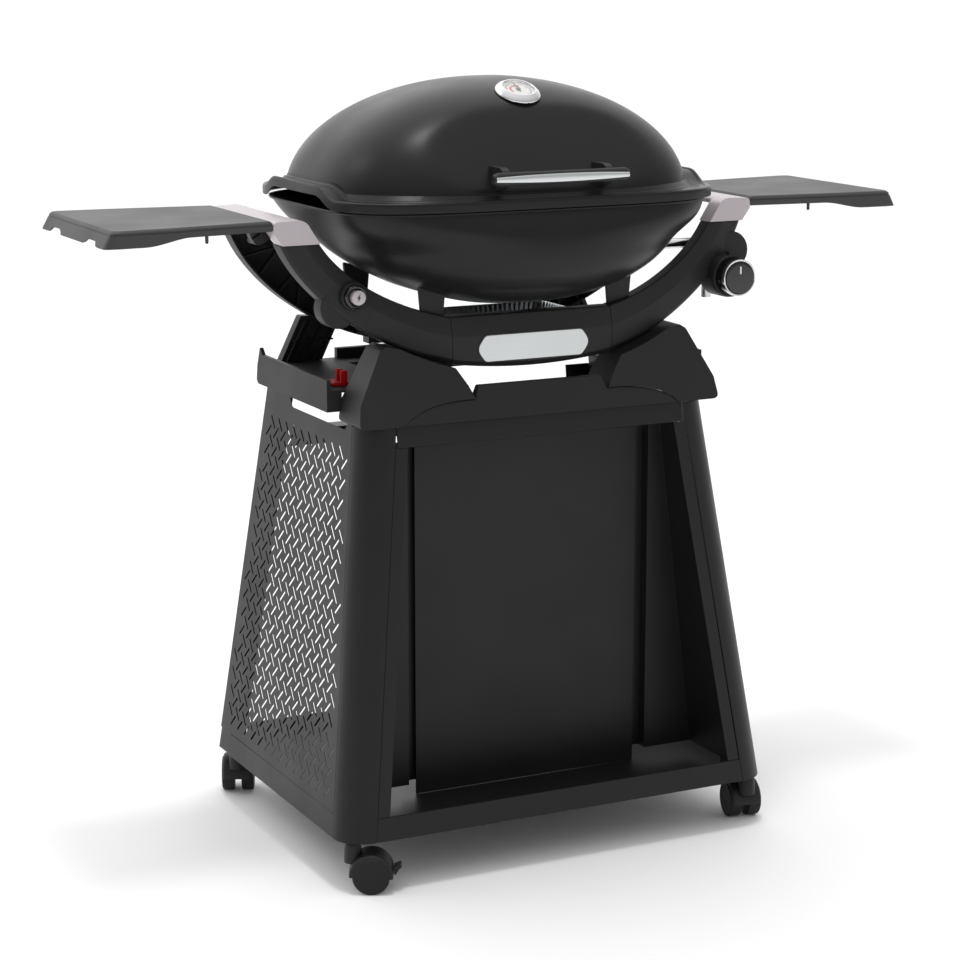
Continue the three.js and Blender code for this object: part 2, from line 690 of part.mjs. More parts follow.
// How far a point of the rim is inside the side vents, from 0 to 1.
function ventShare(y) {
  const away = Math.abs(y - LID_Y) - HOOD_HALF_Y;
  return 1 - THREE.MathUtils.smoothstep(away, 0, HOOD_RAMP);
}

const bowlProfile = new THREE.CatmullRomCurve3([
  [0, 855], [90, 861], [170, 882], [214, 901], [247, 921], [274, 944], [297, 975], [BOWL_HALF_X, BOWL_RIM - 4],
].map(([x, z]) => new THREE.Vector3(x, 0, z)));

function bowlRing(t, offset) {
  const p = bowlProfile.getPoint(t);
  const halfX = Math.max(p.x + offset, 2);
  const halfY = Math.max(p.x * (BOWL_HALF_Y / BOWL_HALF_X) + offset, 2);
  const z = p.z - offset * (1 - t);
  const flare = THREE.MathUtils.smoothstep(p.z, 940, BOWL_RIM);
  const square = BOWL_SQUARE + (RIM_SQUARE - BOWL_SQUARE) * flare;
  const forward = BOWL_LEAN * (BOWL_RIM - p.z);
  return planRing(halfX, halfY, z, square).map((point) => point.setY(point.y - forward));
}

// The whole space that the bowl fills, grown by an offset, to cut what it rests on.
function bowlEnvelope(offset) {
  const rings = [];
  for (let i = 1; i <= 9; i += 1) rings.push(bowlRing(i / 9, offset));
  rings.push(planRing(BOWL_HALF_X + offset, BOWL_HALF_Y + offset, BOWL_RIM + 60, RIM_SQUARE));
  return skin(rings);
}

function bowl() {
  const steps = 9;
  const rings = [];
  for (let i = 1; i <= steps; i += 1) rings.push(bowlRing(i / steps, 0));
  const rim = (out, z) => planRing(BOWL_HALF_X + out, BOWL_HALF_Y + out, z, RIM_SQUARE);
  rings.push(rim(3, BOWL_RIM - 3));
  rings.push(rim(3, BOWL_RIM));
  rings.push(rim(-3, BOWL_RIM));
  for (let i = steps; i >= 1; i -= 1) rings.push(bowlRing(i / steps, -BOWL_WALL));
  const shell = skin(rings);
  const tubeHole = rod('x', 9, 200, 340, 16).translate(0, TUBE_Y, TUBE_Z);
  const drain = rod('z', 12, 840, 875, 16).translate(0, LID_Y - BOWL_LEAN * 150, 0);
  const pieces = [shell];
  for (const x of [-150, 150]) pieces.push(...hingeEars(x));
  return cut(join(...pieces), tubeHole, drain);
}

// Two ears and a pin at the back of the bowl for each lid knuckle.
function hingeEars(x) {
  const shape = new THREE.Shape();
  shape.moveTo(226, BOWL_RIM - 16);
  shape.absarc(LID_HINGE_Y, LID_HINGE_Z, 7, -Math.PI / 2, Math.PI / 2, false);
  shape.lineTo(LID_HINGE_Y - 8, LID_HINGE_Z);
  shape.lineTo(226, BOWL_RIM - 4);
  return [
    plateYZ(shape, x - 16, x - 11), plateYZ(shape, x + 11, x + 16),
    rod('x', 4, x - 13, x + 13, 16).translate(0, LID_HINGE_Y, LID_HINGE_Z),
  ];
}

// ---------- lid ----------
// A point of the dome: level 0 is the crown and 1 the base, and the offset is inwards.
function lidPoint(angle, level, inset) {
  const fall = level * Math.PI / 2;
  const halfX = (LID_HALF_X - inset) * Math.sin(fall);
  const halfY = (LID_HALF_Y - inset) * Math.sin(fall);
  const p = planPoint(angle, halfX, halfY, LID_BASE + (LID_HEIGHT - inset) * Math.cos(fall), LID_SQUARE);
  const facet = FACET_Y + inset + (p.z - FACET_Z) * FACET_LEAN;
  const soft = Math.sqrt((p.y - facet) ** 2 + FACET_SOFT ** 2);
  p.y = (p.y + facet + soft) / 2;
  return p;
}

function lidRing(level, inset, count = RING) {
  return Array.from({ length: count }, (_, i) => lidPoint((i / count) * Math.PI * 2, level, inset));
}

// A ring of the rim, inside its outer edge by an inset, and raised over the side vents.
function rimRing(inset, z) {
  return planRing(RIM_HALF_X - inset, RIM_HALF_Y - inset, z, RIM_SQUARE).map((p) => {
    if (Math.abs(p.x) > RIM_HALF_X / 2) p.z += HOOD_LIFT * ventShare(p.y);
    return p;
  });
}

// How far the hood lifts the foot of the dome at a point of it.
const liftAt = (p) => (Math.abs(p.x) > LID_HALF_X / 2 ? HOOD_LIFT * ventShare(p.y) : 0);

const LID_LEVELS = [0.08, 0.25, 0.42, 0.56, 0.68, 0.79, 0.86];

function lid() {
  const outer = LID_LEVELS.map((level) => lidRing(level, 0));
  const inner = LID_LEVELS.map((level) => lidRing(level, LID_WALL)).reverse();
  const edge = lidRing(0.93, -0.5).map((p) => p.setZ(RIM_TOP + 3 + liftAt(p)));
  const seat = lidRing(0.93, LID_WALL).map((p) => p.setZ(RIM_TOP - 3 + liftAt(p)));
  const rim = [
    edge, rimRing(2, RIM_TOP), rimRing(0, RIM_TOP - 2), rimRing(0, RIM_BOTTOM),
    rimRing(3, RIM_BOTTOM), rimRing(4, RIM_TOP - 5), seat,
  ];
  const shell = skin([...outer, ...rim, ...inner].map((ring) => [...ring].reverse()));
  const pieces = [shell];
  for (const x of [-150, 150]) pieces.push(lidKnuckle(x));
  const gaugeHole = rod('z', 8, 1140, 1200, 16).translate(0, GAUGE_Y, 0);
  const bores = rod('x', 4.5, -200, 200, 16).translate(0, LID_HINGE_Y, LID_HINGE_Z);
  return cut(join(...pieces), gaugeHole, bores);
}

function lidKnuckle(x) {
  const shape = new THREE.Shape();
  shape.moveTo(236, 1023);
  shape.lineTo(236, 1013);
  shape.lineTo(LID_HINGE_Y - 9, 1012);
  shape.absarc(LID_HINGE_Y, LID_HINGE_Z, 8, Math.PI, Math.PI * 2.5, false);
  shape.lineTo(LID_HINGE_Y - 6, 1024);
  return plateYZ(shape, x - 10, x + 10);
}

// The gauge sits square on the dome at GAUGE_Y.
const GAUGE_Y = -97;
const GAUGE_SHARE = (GAUGE_Y - LID_Y) / LID_HALF_Y;
const GAUGE_Z = LID_BASE + LID_HEIGHT * Math.sqrt(1 - GAUGE_SHARE ** 2);
const GAUGE_TILT = Math.atan((-GAUGE_SHARE * LID_HEIGHT) / (LID_HALF_Y * Math.sqrt(1 - GAUGE_SHARE ** 2)));

function placeGauge(geometry) {
  return geometry.rotateX(GAUGE_TILT).translate(0, GAUGE_Y, GAUGE_Z);
}

function thermometerCase() {
  const profile = [[0, -24], [5, -24], [5, 1], [35, 1], [35, 4], [32, 10], [29, 11], [28, 6.5],
    [4, 6.5], [4, 5], [0, 5]];
  return placeGauge(turned(profile, 24));
}

function thermometerNeedle() {
  const shape = outline([[-1.6, -7], [1.6, -7], [0.5, 22], [-0.5, 22]]);
  const hub = rod('z', 3, 5.3, 8.2, 16);
  return placeGauge(join(plateXY(shape, 7.2, 8.2), hub));
}

const HANDLE_Y = -240;
const HANDLE_Z = 1055;
const HANDLE_HALF = 112;
const BRACKET_X = 85;

function handleBar() {
  const section = new THREE.Shape();
  section.absellipse(HANDLE_Y + 2, HANDLE_Z, 8, 10, 0, Math.PI * 2, false);
  const bar = plateYZ(section, -HANDLE_HALF, HANDLE_HALF, 14);
  const half = HANDLE_HALF - 2;
  const rebate = box(-half, half, HANDLE_Y - 10, HANDLE_Y - 2, HANDLE_Z - 7, HANDLE_Z + 7);
  return cut(bar, rebate);
}

function handleStrip() {
  const shape = new THREE.Shape();
  const half = HANDLE_HALF - 3;
  shape.moveTo(-half, HANDLE_Z - 3.5);
  shape.quadraticCurveTo(0, HANDLE_Z - 8.5, half, HANDLE_Z - 3.5);
  shape.lineTo(half, HANDLE_Z + 3.5);
  shape.quadraticCurveTo(0, HANDLE_Z + 8.5, -half, HANDLE_Z + 3.5);
  return plateXZ(shape, HANDLE_Y - 4, HANDLE_Y - 2 - GAP, 12);
}

function handleBracket(x) {
  const shape = new THREE.Shape();
  shape.moveTo(HANDLE_Y + 10.3, HANDLE_Z + 6);
  shape.quadraticCurveTo(HANDLE_Y + 14, HANDLE_Z + 15, HANDLE_Y + 28, HANDLE_Z + 15);
  shape.lineTo(-176, HANDLE_Z + 15);
  shape.lineTo(-190, RIM_TOP + 12);
  shape.quadraticCurveTo(HANDLE_Y + 14, RIM_TOP + 14, HANDLE_Y + 10.3, HANDLE_Z - 6);
  const fin = plateYZ(shape, x - 6, x + 6);
  return cut(fin, lidEnvelope());
}

// The lid's outer dome grown by the gap, to trim what is fastened to its face.
function lidEnvelope() {
  const rings = [...LID_LEVELS, 0.93].map((level) => lidRing(level, -GAP).reverse());
  rings.push(lidRing(0.99, -GAP - 1).reverse());
  return skin(rings);
}

function addLid() {
  add('lid', lid(), blackEnamel);
  add('handle_bar', handleBar(), blackPlastic);
  add('handle_strip', handleStrip(), brushedMetal);
  add('handle_bracket_left', handleBracket(-BRACKET_X), blackPlastic);
  add('handle_bracket_right', handleBracket(BRACKET_X), blackPlastic);
  add('thermometer_case', thermometerCase(), chrome);
  add('thermometer_needle', thermometerNeedle(), blackPlastic);
}

// ---------- inside the bowl ----------
const GRATE_Z = 985;

function grate() {
  const halfX = 282;
  const halfY = 200;
  const shape = new THREE.Shape();
  const steps = 12;
  for (let i = 0; i <= steps; i += 1) {
    const p = planPoint((i / steps - 0.5) * Math.PI, halfX, halfY, 0, LID_SQUARE);
    if (i === 0) shape.moveTo(1, p.y);
    else if (i < steps) shape.lineTo(p.x, p.y);
    else shape.lineTo(1, p.y);
  }
  const slot = 12;
  const slots = [];
  for (let k = 0; k < 13; k += 1) {
    const x = 7 + k * 20;
    const reach = halfY * (1 - ((x + slot) / halfX) ** LID_SQUARE) ** (1 / LID_SQUARE) - 14;
    slots.push(box(x, x + slot, LID_Y - reach, LID_Y - 4, GRATE_Z - 1, GRATE_Z + 9));
    slots.push(box(x, x + slot, LID_Y + 4, LID_Y + reach, GRATE_Z - 1, GRATE_Z + 9));
  }
  return cut(plateXY(shape, GRATE_Z, GRATE_Z + 8), ...slots);
}

// A burner tube bent into a flat loop that is open at the inlet.
function burnerLoop() {
  const a = 150;
  const b = 92;
  const z = TUBE_Z;
  const points = [new THREE.Vector3(226, TUBE_Y, z), new THREE.Vector3(196, TUBE_Y - 4, z)];
  for (let i = 1; i < 15; i += 1) {
    const angle = -0.55 - (i / 15) * (Math.PI * 2 - 0.95);
    points.push(new THREE.Vector3(a * Math.cos(angle), LID_Y + b * Math.sin(angle), z));
  }
  const path = new THREE.CatmullRomCurve3(points);
  const section = new THREE.Shape();
  section.absarc(0, 0, 8, 0, Math.PI * 2, false);
  const options = { steps: 30, extrudePath: path, curveSegments: 4, bevelEnabled: false };
  return new THREE.ExtrudeGeometry(section, options);
}

function gasValve() {
  const body = box(CONTROL_X - 16, CONTROL_X + 16, -82, -40, CONTROL_Z - 16, CONTROL_Z + 16);
  const riser = box(CONTROL_X - 9, CONTROL_X + 9, TUBE_Y - 9, TUBE_Y + 9, CONTROL_Z + 15, TUBE_Z - 8 - GAP);
  const inlet = rod('z', 8, CONTROL_Z - 42, CONTROL_Z - 14, 16).translate(CONTROL_X, TUBE_Y, 0);
  const bore = rod('y', 5.8, -90, -60, 16).translate(CONTROL_X, 0, CONTROL_Z);
  return cut(join(body, riser, inlet), bore);
}

function greasePan() {
  const plan = [[-95, -72], [95, -72], [110, -58], [110, 58], [95, 72], [-95, 72], [-110, 58], [-110, -58]];
  const ring = (inset, z) => plan.map(([x, y]) => new THREE.Vector3(
    x * (1 - inset / 110), PAN_Y + y * (1 - inset / 72), z));
  const base = PAN_Z + 9;
  const outer = skin([ring(14, base), ring(0, base + 26)]);
  const inner = skin([ring(16, base + 3), ring(2, base + 27)]);
  return cut(outer, inner);
}

// The tray that carries the pan is a frame with a pull at the back.
function panHolder() {
  const half = RAIL_X - 6;
  const front = BAR_FRONT + ARM_DEPTH + 3;
  const frame = box(-half, half, front, PAN_Y + 98, PAN_Z, PAN_Z + 8);
  const middle = box(-half + 34, half - 34, front + 18, PAN_Y + 64, PAN_Z - 9, PAN_Z + 11);
  const pull = box(-60, 60, PAN_Y + 94, PAN_Y + 180, PAN_Z + 1, PAN_Z + 7);
  return join(cut(frame, middle), pull);
}

function addBowl() {
  add('bowl', bowl(), blackEnamel);
  const half = grate();
  add('cooking_grate_right', half, castIron);
  add('cooking_grate_left', mirrorX(half), castIron);
  add('burner_loop', burnerLoop(), panMetal);
  const tube = rod('x', 8, 228, CONTROL_X + 9, 14).translate(0, TUBE_Y, TUBE_Z);
  add('burner_inlet_tube', tube, chrome);
  add('gas_valve', gasValve(), brushedMetal);
  add('pan_holder', panHolder(), blackPlastic);
  add('grease_pan', greasePan(), panMetal);
}

function addCradle() {
  add('cradle_bar_front', cradleBar(), blackPlastic);
  add('cradle_arm_right', armRight(), blackPlastic);
  add('cradle_arm_left', armLeft(), blackPlastic);
  add('cradle_rear', cradleRear(), blackPlastic);
  const bracket = tableBracket();
  add('table_bracket_right', bracket, silverPlastic);
  add('table_bracket_left', mirrorX(bracket), silverPlastic);
  const badge = outline([[-97, 794], [-82, 775], [82, 775], [97, 794], [82, 817], [-82, 817]]);
  add('badge_plate', plateXZ(badge, BAR_FRONT - 2.3, BAR_FRONT - GAP), brushedMetal);
}

// ---------- controls ----------
function knob() {
  const depth = KNOB_FACE - BOSS_FACE;
  const inner = KNOB_R - 3;
  const skirt = depth + 5;
  const profile = [[0, depth], [inner - 0.3, depth], [inner - 0.3, skirt], [KNOB_R - 0.5, skirt],
    [KNOB_R - 0.5, -4.5], [inner, -4.5], [inner, depth + 8], [9, depth + 8], [9, -5], [5.5, -5],
    [5.5, depth + 10], [0, depth + 10]];
  const solid = turned(profile.map(([r, y]) => [r, -y]).reverse(), 24).rotateX(Math.PI / 2);
  return solid.translate(CONTROL_X, BOSS_FACE, CONTROL_Z);
}

function knobRing() {
  const inner = KNOB_R - 3;
  const profile = [[inner, 0], [KNOB_R, 0], [KNOB_R, 5], [KNOB_R - 1, 6], [inner, 6], [inner, 0]];
  const ring = turned(profile, 28).rotateX(Math.PI / 2);
  return ring.translate(CONTROL_X, KNOB_FACE + 4.7, CONTROL_Z);
}

function addControls() {
  const stem = rod('y', 5, KNOB_FACE + 11, -65, 16).translate(CONTROL_X, 0, CONTROL_Z);
  add('valve_stem', stem, brushedMetal);
  add('control_knob', knob(), blackPlastic);
  add('knob_ring', knobRing(), chrome);
  const seat = (profile) => turned(profile, 28).rotateX(Math.PI / 2)
    .translate(IGNITER_X, IGNITER_FACE - GAP, IGNITER_Z);
  const collar = [[12.3, 0], [18, 0], [18, 5], [16, 6.5], [12.3, 6.5], [12.3, 0]];
  add('igniter_collar', seat(collar), blackPlastic);
  const button = [[0, -30], [11, -30], [11, 13], [10, 14], [0, 14]];
  add('igniter_button', seat(button), brushedMetal);
}

// ---------- side tables ----------
// The right table: a moulded tray whose apron deepens towards the outer end.
function sideTable() {
  const plan = (inset) => {
    const shape = [[TABLE_INNER_X, -114], [560, -135], [650, -141], [TABLE_TIP_X - 2, -132],
      [TABLE_TIP_X - 2, 155], [650, 163], [560, 155], [TABLE_INNER_X, 133]];
    const mx = (TABLE_INNER_X + TABLE_TIP_X) / 2;
    return shape.map(([x, y]) => [mx + (x - mx) * (1 - inset / 131), 11 + (y - 11) * (1 - inset / 140)]);
  };
  const apronDrop = (x) => 15 + 10 * THREE.MathUtils.smoothstep(x, 530, 600);
  const lift = (geometry) => bend(geometry, (p) => {
    if (p.z < 1) p.z = TABLE_TOP - apronDrop(p.x) + p.z;
  });
  const steps = [TABLE_INNER_X, 530, 548, 565, 582, 600, TABLE_TIP_X];
  const slabs = [];
  for (let i = 0; i < steps.length - 1; i += 1) {
    const [x0, x1] = [steps[i], steps[i + 1] + (i < steps.length - 2 ? 0.01 : 0)];
    slabs.push(lift(box(x0, x1, -160, 180, 0, TABLE_TOP + 5)));
  }
  const depth = slabs.reduce((all, slab) => join(all, slab));
  const outer = keepInside(plateXY(outline(plan(0)), TABLE_TOP - 40, TABLE_TOP), depth);
  const inner = plateXY(outline(plan(3)), TABLE_TOP - 50, TABLE_TOP - 3);
  const knuckles = [];
  for (const y of [-60, 84]) {
    const lug = new THREE.Shape();
    lug.moveTo(HINGE_X + 5, HINGE_Z - 3);
    lug.lineTo(HINGE_X + 18, TABLE_TOP - 2);
    lug.lineTo(HINGE_X - 4, TABLE_TOP - 2);
    lug.lineTo(HINGE_X - 5, HINGE_Z);
    lug.absarc(HINGE_X, HINGE_Z, 6, Math.PI, Math.PI * 1.8, false);
    knuckles.push(plateXZ(lug, y - 7, y + 7));
  }
  const bore = rod('y', PIN_R + 0.5, -100, 120, 16).translate(HINGE_X, 0, HINGE_Z);
  const relief = [-60, 84].flatMap((y) => [
    box(TABLE_INNER_X - 5, HINGE_X + 9, y - 15, y - 7, 900, TABLE_TOP - 4),
    box(TABLE_INNER_X - 5, HINGE_X + 9, y + 7, y + 15, 900, TABLE_TOP - 4)]);
  return cut(join(cut(outer, inner), ...knuckles), bore, ...relief);
}

function addTables() {
  const table = sideTable();
  add('side_table_right', table, tablePlastic);
  add('side_table_left', mirrorX(table), tablePlastic);
}

// ---------- lock clips ----------
function lockClip() {
  const slab = box(270, 298, -78, -40, TRAY_FLOOR + GAP, TRAY_FLOOR + 5);
  const tab = box(272, 282, -76, -70, TRAY_FLOOR + 4, TRAY_FLOOR + 22);
  const other = box(272, 282, -60, -54, TRAY_FLOOR + 4, TRAY_FLOOR + 22);
  return join(slab, tab, other);
}

function addClips() {
  const clip = lockClip();
  add('lock_clip_right', clip, redPlastic);
  add('lock_clip_left', mirrorX(clip), redPlastic);
}

addCart();
addCasters();
addCradle();
addBowl();
addLid();
addControls();
addTables();
addClips();

// The origin goes under the middle of the whole, between the reach of the front and rear casters.
const reach = new THREE.Box3().setFromObject(grill);
grill.position.y = -(reach.min.y + reach.max.y) / 2;
grill.position.z = -FLOOR;

export default grill;
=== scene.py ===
"""Looks of a gas barbecue grill on a wheeled cart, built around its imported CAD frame.

Lengths are millimetres in the CAD's own drawing, in which X runs to the grill's right, -Y faces
the cook and +Z is up. at() turns a point of the drawing into metres in the frame.
"""
import json
import math

import bmesh
import bpy
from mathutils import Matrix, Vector


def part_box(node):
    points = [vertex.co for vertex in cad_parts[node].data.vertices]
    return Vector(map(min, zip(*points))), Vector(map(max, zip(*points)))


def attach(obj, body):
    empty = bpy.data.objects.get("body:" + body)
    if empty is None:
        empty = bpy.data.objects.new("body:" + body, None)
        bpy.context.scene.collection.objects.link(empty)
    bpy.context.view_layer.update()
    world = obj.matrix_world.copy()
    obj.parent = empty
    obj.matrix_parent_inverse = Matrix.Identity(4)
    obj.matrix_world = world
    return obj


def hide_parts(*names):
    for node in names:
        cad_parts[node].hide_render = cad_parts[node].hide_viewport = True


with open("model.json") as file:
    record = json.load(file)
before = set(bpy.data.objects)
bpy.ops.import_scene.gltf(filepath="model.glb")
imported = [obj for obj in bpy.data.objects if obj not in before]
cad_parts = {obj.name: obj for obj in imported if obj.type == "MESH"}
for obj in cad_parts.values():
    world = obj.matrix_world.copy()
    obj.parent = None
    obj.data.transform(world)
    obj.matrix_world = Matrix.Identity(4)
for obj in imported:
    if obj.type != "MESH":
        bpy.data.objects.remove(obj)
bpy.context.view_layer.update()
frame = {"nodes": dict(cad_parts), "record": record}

SCENE = bpy.context.scene
RECORD = frame["record"]

# ---------- dimensions shared with the CAD drawing ----------
MM = 0.001
GROUND = 18.0                    # height of the ground in the drawing
PANEL_Y = -134.0                 # front of the middle panel
SHIFT_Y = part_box("front_panel")[0].y / MM - PANEL_Y

# cart
BASE_Z = 95.0                    # underside of the legs
BASE_HALF_X = 365.0
BASE_FRONT_Y = 267.0
BASE_REAR_Y = 263.0
LEAN_X = 0.1232                  # inward lean of the sides, mm per mm of height
LEAN_FRONT = 0.1362              # backward lean of the front
LEAN_REAR = 0.1                  # forward lean of the back
LEG_R = 49.0
RAIL_TOP = 130.0                 # top of the rails around the bottom shelf
SIDE_TOP = 708.0                 # top edge of a side panel
GRIP_BOTTOM = 684.0              # hand grip in that edge
GRIP_ENDS = (-110, 95)
TRAY_FLOOR = 744.0

# casters
WHEEL_R = 28.0
HOOD_R = 33.0
CASTER_TRAIL = 27.0
CASTER_X = 341.0
CASTER_Y = 238.0
AXLE_Z = WHEEL_R + GROUND

# cradle
SEAM_X = 135.0                   # seam between the middle bar and an arm
BAR_FRONT = -152.0
BAR_TOP = 846.0
ARM_DEPTH = 32.0
ARM_LEAN = 0.172                 # the arms lean back towards their tops
ARM_TOP = 960.7
CRADLE_MID_Y = 12.0              # the rear cradle mirrors the front one about this plane
TRAY_RAIL_X = 128.0              # outer side of the rails for the grease tray
TRAY_RAIL_Z = 788.0
PAN_Y = -42.0
PAN_Z = 808.0

# side tables
TABLE_TOP = 998.0
TABLE_INNER_X = 402.0
TABLE_OUTER_X = 650.0            # end of the flat top, from which the apron splays out
TABLE_TIP_X = 662.0
HINGE_X = 409.0
HINGE_Z = 966.0
HINGE_YS = (-60, 84)

# bowl and lid
LID_Y = 9.0                      # middle of the bowl and the lid
LID_HALF_X = 301.0
LID_HALF_Y = 222.0
LID_BASE = 1013.0
LID_HEIGHT = 176.0
LID_WALL = 3.0
LID_SQUARE = 3.0                 # roundness of the plan outline, 2 is an ellipse
FOOT_LEVEL = 0.93                # level at which the dome meets its rim
FACET_Y = -210.0                 # flat front of the lid at FACET_Z, leaning back above it
FACET_Z = 1031.0
FACET_LEAN = 0.68
FACET_SOFT = 5.0
RIM_HALF_X = 319.0
RIM_HALF_Y = 238.0
RIM_SQUARE = 4.4
RIM_BOTTOM = 1009.0
RIM_TOP = 1022.0
HOOD_LIFT = 18.0                 # the rim arches over a vent on each side
HOOD_HALF_Y = 81.0
HOOD_RAMP = 54.0
BOWL_RIM = 1008.0
BOWL_HALF_X = 308.0
BOWL_HALF_Y = 227.0
BOWL_SQUARE = 2.45               # roundness of the bowl's depths, it ends in the rim's
BOWL_LEAN = 0.6                  # the bowl deepens towards the cook, mm forward per mm down
BOWL_WALL = 3.0
LID_HINGE_XS = (-150, 150)
LID_HINGE_Y = 262.0
LID_HINGE_Z = 1006.0

# handle and controls
HANDLE_Y = -240.0
HANDLE_Z = 1055.0
HANDLE_HALF = 112.0
CONTROL_X = 357.0
CONTROL_Z = 877.0
BOSS_FACE = -136.0
BOSS_R = 33.0
KNOB_FACE = -162.0
KNOB_R = 29.0
IGNITER_X = -283.0
IGNITER_Z = 884.0
IGNITER_FACE = -134.0

# view
CAMERA_PLACE = (-1.7333, -3.4858, 1.3809)
CAMERA_DOWN = 12.2               # degrees below the horizontal
CAMERA_RIGHT = 26.3              # degrees to the right of straight ahead
LENS = 94.63
FLOOR_REACH = 80                 # metres


def at(x, y, z):
    return Vector((x, y + SHIFT_Y, z - GROUND)) * MM


def smoothstep(value, low, high):
    share = min(1.0, max(0.0, (value - low) / (high - low)))
    return share * share * (3 - 2 * share)


# ---------- materials ----------
def linear(colour):
    channels = [int(colour[i:i + 2], 16) / 255 for i in (0, 2, 4)]
    return [c / 12.92 if c <= 0.04045 else ((c + 0.055) / 1.055) ** 2.4 for c in channels]


def surface(name, colour, roughness, metallic=0.0, level=0.5, grain=900.0, bump=0.12, tint=0.12,
            stretch=(1.0, 1.0, 1.0), coat=0.0, alpha=1.0, depth=0.0004):
    """A finish with a fine grain in its relief and a broader unevenness in its tone and gloss."""
    material = bpy.data.materials.new(name)
    material.use_nodes = True
    nodes = material.node_tree.nodes
    link = material.node_tree.links.new
    shader = nodes["Principled BSDF"]
    place = nodes.new("ShaderNodeTexCoord")
    mapping = nodes.new("ShaderNodeMapping")
    mapping.inputs["Scale"].default_value = stretch
    fine = nodes.new("ShaderNodeTexNoise")
    fine.inputs["Scale"].default_value = grain
    fine.inputs["Detail"].default_value = 3.0
    broad = nodes.new("ShaderNodeTexNoise")
    broad.inputs["Scale"].default_value = 9.0
    broad.inputs["Detail"].default_value = 5.0
    link(place.outputs["Object"], mapping.inputs["Vector"])
    link(mapping.outputs["Vector"], fine.inputs["Vector"])
    link(place.outputs["Object"], broad.inputs["Vector"])
    blend = nodes.new("ShaderNodeMath")
    blend.operation = "MULTIPLY_ADD"
    blend.inputs[1].default_value = 0.5
    half = nodes.new("ShaderNodeMath")
    half.operation = "MULTIPLY"
    half.inputs[1].default_value = 0.5
    link(broad.outputs["Fac"], half.inputs[0])
    link(fine.outputs["Fac"], blend.inputs[0])
    link(half.outputs[0], blend.inputs[2])
    tone = nodes.new("ShaderNodeMix")
    tone.data_type = "RGBA"
    base = linear(colour)
    tone.inputs["A"].default_value = [*(c * (1 - tint) for c in base), 1]
    tone.inputs["B"].default_value = [*(min(1, c * (1 + tint)) for c in base), 1]
    link(blend.outputs[0], tone.inputs["Factor"])
    link(tone.outputs["Result"], shader.inputs["Base Color"])
    gloss = nodes.new("ShaderNodeMapRange")
    gloss.inputs["From Min"].default_value = 0.3
    gloss.inputs["From Max"].default_value = 0.7
    gloss.inputs["To Min"].default_value = max(0.03, roughness - 0.05)
    gloss.inputs["To Max"].default_value = min(1.0, roughness + 0.05)
    link(broad.outputs["Fac"], gloss.inputs["Value"])
    link(gloss.outputs["Result"], shader.inputs["Roughness"])
    relief = nodes.new("ShaderNodeBump")
    relief.inputs["Strength"].default_value = bump
    relief.inputs["Distance"].default_value = depth
    link(fine.outputs["Fac"], relief.inputs["Height"])
    link(relief.outputs["Normal"], shader.inputs["Normal"])
    shader.inputs["Metallic"].default_value = metallic
    shader.inputs["Specular IOR Level"].default_value = level
    shader.inputs["Coat Weight"].default_value = coat
    shader.inputs["Alpha"].default_value = alpha
    return material


FINISHES = {
    "black_enamel": surface("black_enamel", "191919", 0.34, level=0.24, grain=1400, bump=0.10, tint=0.2),
    "black_plastic": surface("black_plastic", "1e1e1f", 0.5, level=0.3, grain=1100, bump=0.16, tint=0.15),
    "cart_paint": surface("cart_paint", "181819", 0.42, level=0.28, grain=1600, bump=0.14, tint=0.2),
    "table_plastic": surface("table_plastic", "333334", 0.5, level=0.5, grain=1000, bump=0.2, tint=0.1),
    "silver_plastic": surface("silver_plastic", "b8b0b4", 0.4, metallic=0.5, grain=1500, bump=0.06,
                              tint=0.05),
    "chrome": surface("chrome", "d8d8da", 0.12, metallic=1, grain=600, bump=0.02, tint=0.03),
    "brushed_metal": surface("brushed_metal", "d0d3d3", 0.32, metallic=1, grain=500, bump=0.12, tint=0.06,
                             stretch=(0.03, 1.0, 1.0)),
    "red_plastic": surface("red_plastic", "b40000", 0.45, grain=900, bump=0.1, tint=0.1),
    "cast_iron": surface("cast_iron", "1c1b1a", 0.75, metallic=0.2, level=0.3, grain=450, bump=0.5,
                         tint=0.3, depth=0.0008),
    "pan_metal": surface("pan_metal", "c6cacd", 0.36, metallic=1, grain=160, bump=0.1, tint=0.08),
    "wheel_plastic": surface("wheel_plastic", "19191a", 0.6, level=0.3, grain=700, bump=0.25, tint=0.2),
}
EXTRA = {
    "dial_white": surface("dial_white", "e4e2de", 0.5, grain=900, bump=0.03, tint=0.03),
    "dial_black": surface("dial_black", "141414", 0.5, grain=900, bump=0.03, tint=0.1),
    "dial_red": surface("dial_red", "c23b46", 0.5, grain=900, bump=0.03, tint=0.08),
    "lens": surface("lens", "f4f6f6", 0.04, grain=300, bump=0.0, tint=0.01, alpha=0.14),
    "gloss_black": surface("gloss_black", "0c0c0d", 0.18, level=0.5, grain=500, bump=0.03, tint=0.1,
                           coat=0.4),
}


# ---------- mesh parts: (corners, faces) ----------
def loft(rings, ends=True, wrap=False):
    count = len(rings[0])
    corners = [c for ring in rings for c in ring]
    faces = []
    for i in range(len(rings) if wrap else len(rings) - 1):
        low, high = i * count, (i + 1) % len(rings) * count
        for j in range(count):
            k = (j + 1) % count
            faces.append((low + j, low + k, high + k, high + j))
    if ends and not wrap:
        faces.append(tuple(reversed(range(count))))
        faces.append(tuple(range(len(corners) - count, len(corners))))
    return corners, faces


def joined(*parts):
    corners, faces = [], []
    for part_corners, part_faces in parts:
        first = len(corners)
        corners += part_corners
        faces += [tuple(first + i for i in face) for face in part_faces]
    return corners, faces


def moved(part, move):
    return [move(*c) for c in part[0]], part[1]


def mirrored(part):
    return moved(part, lambda x, y, z: (-x, y, z))


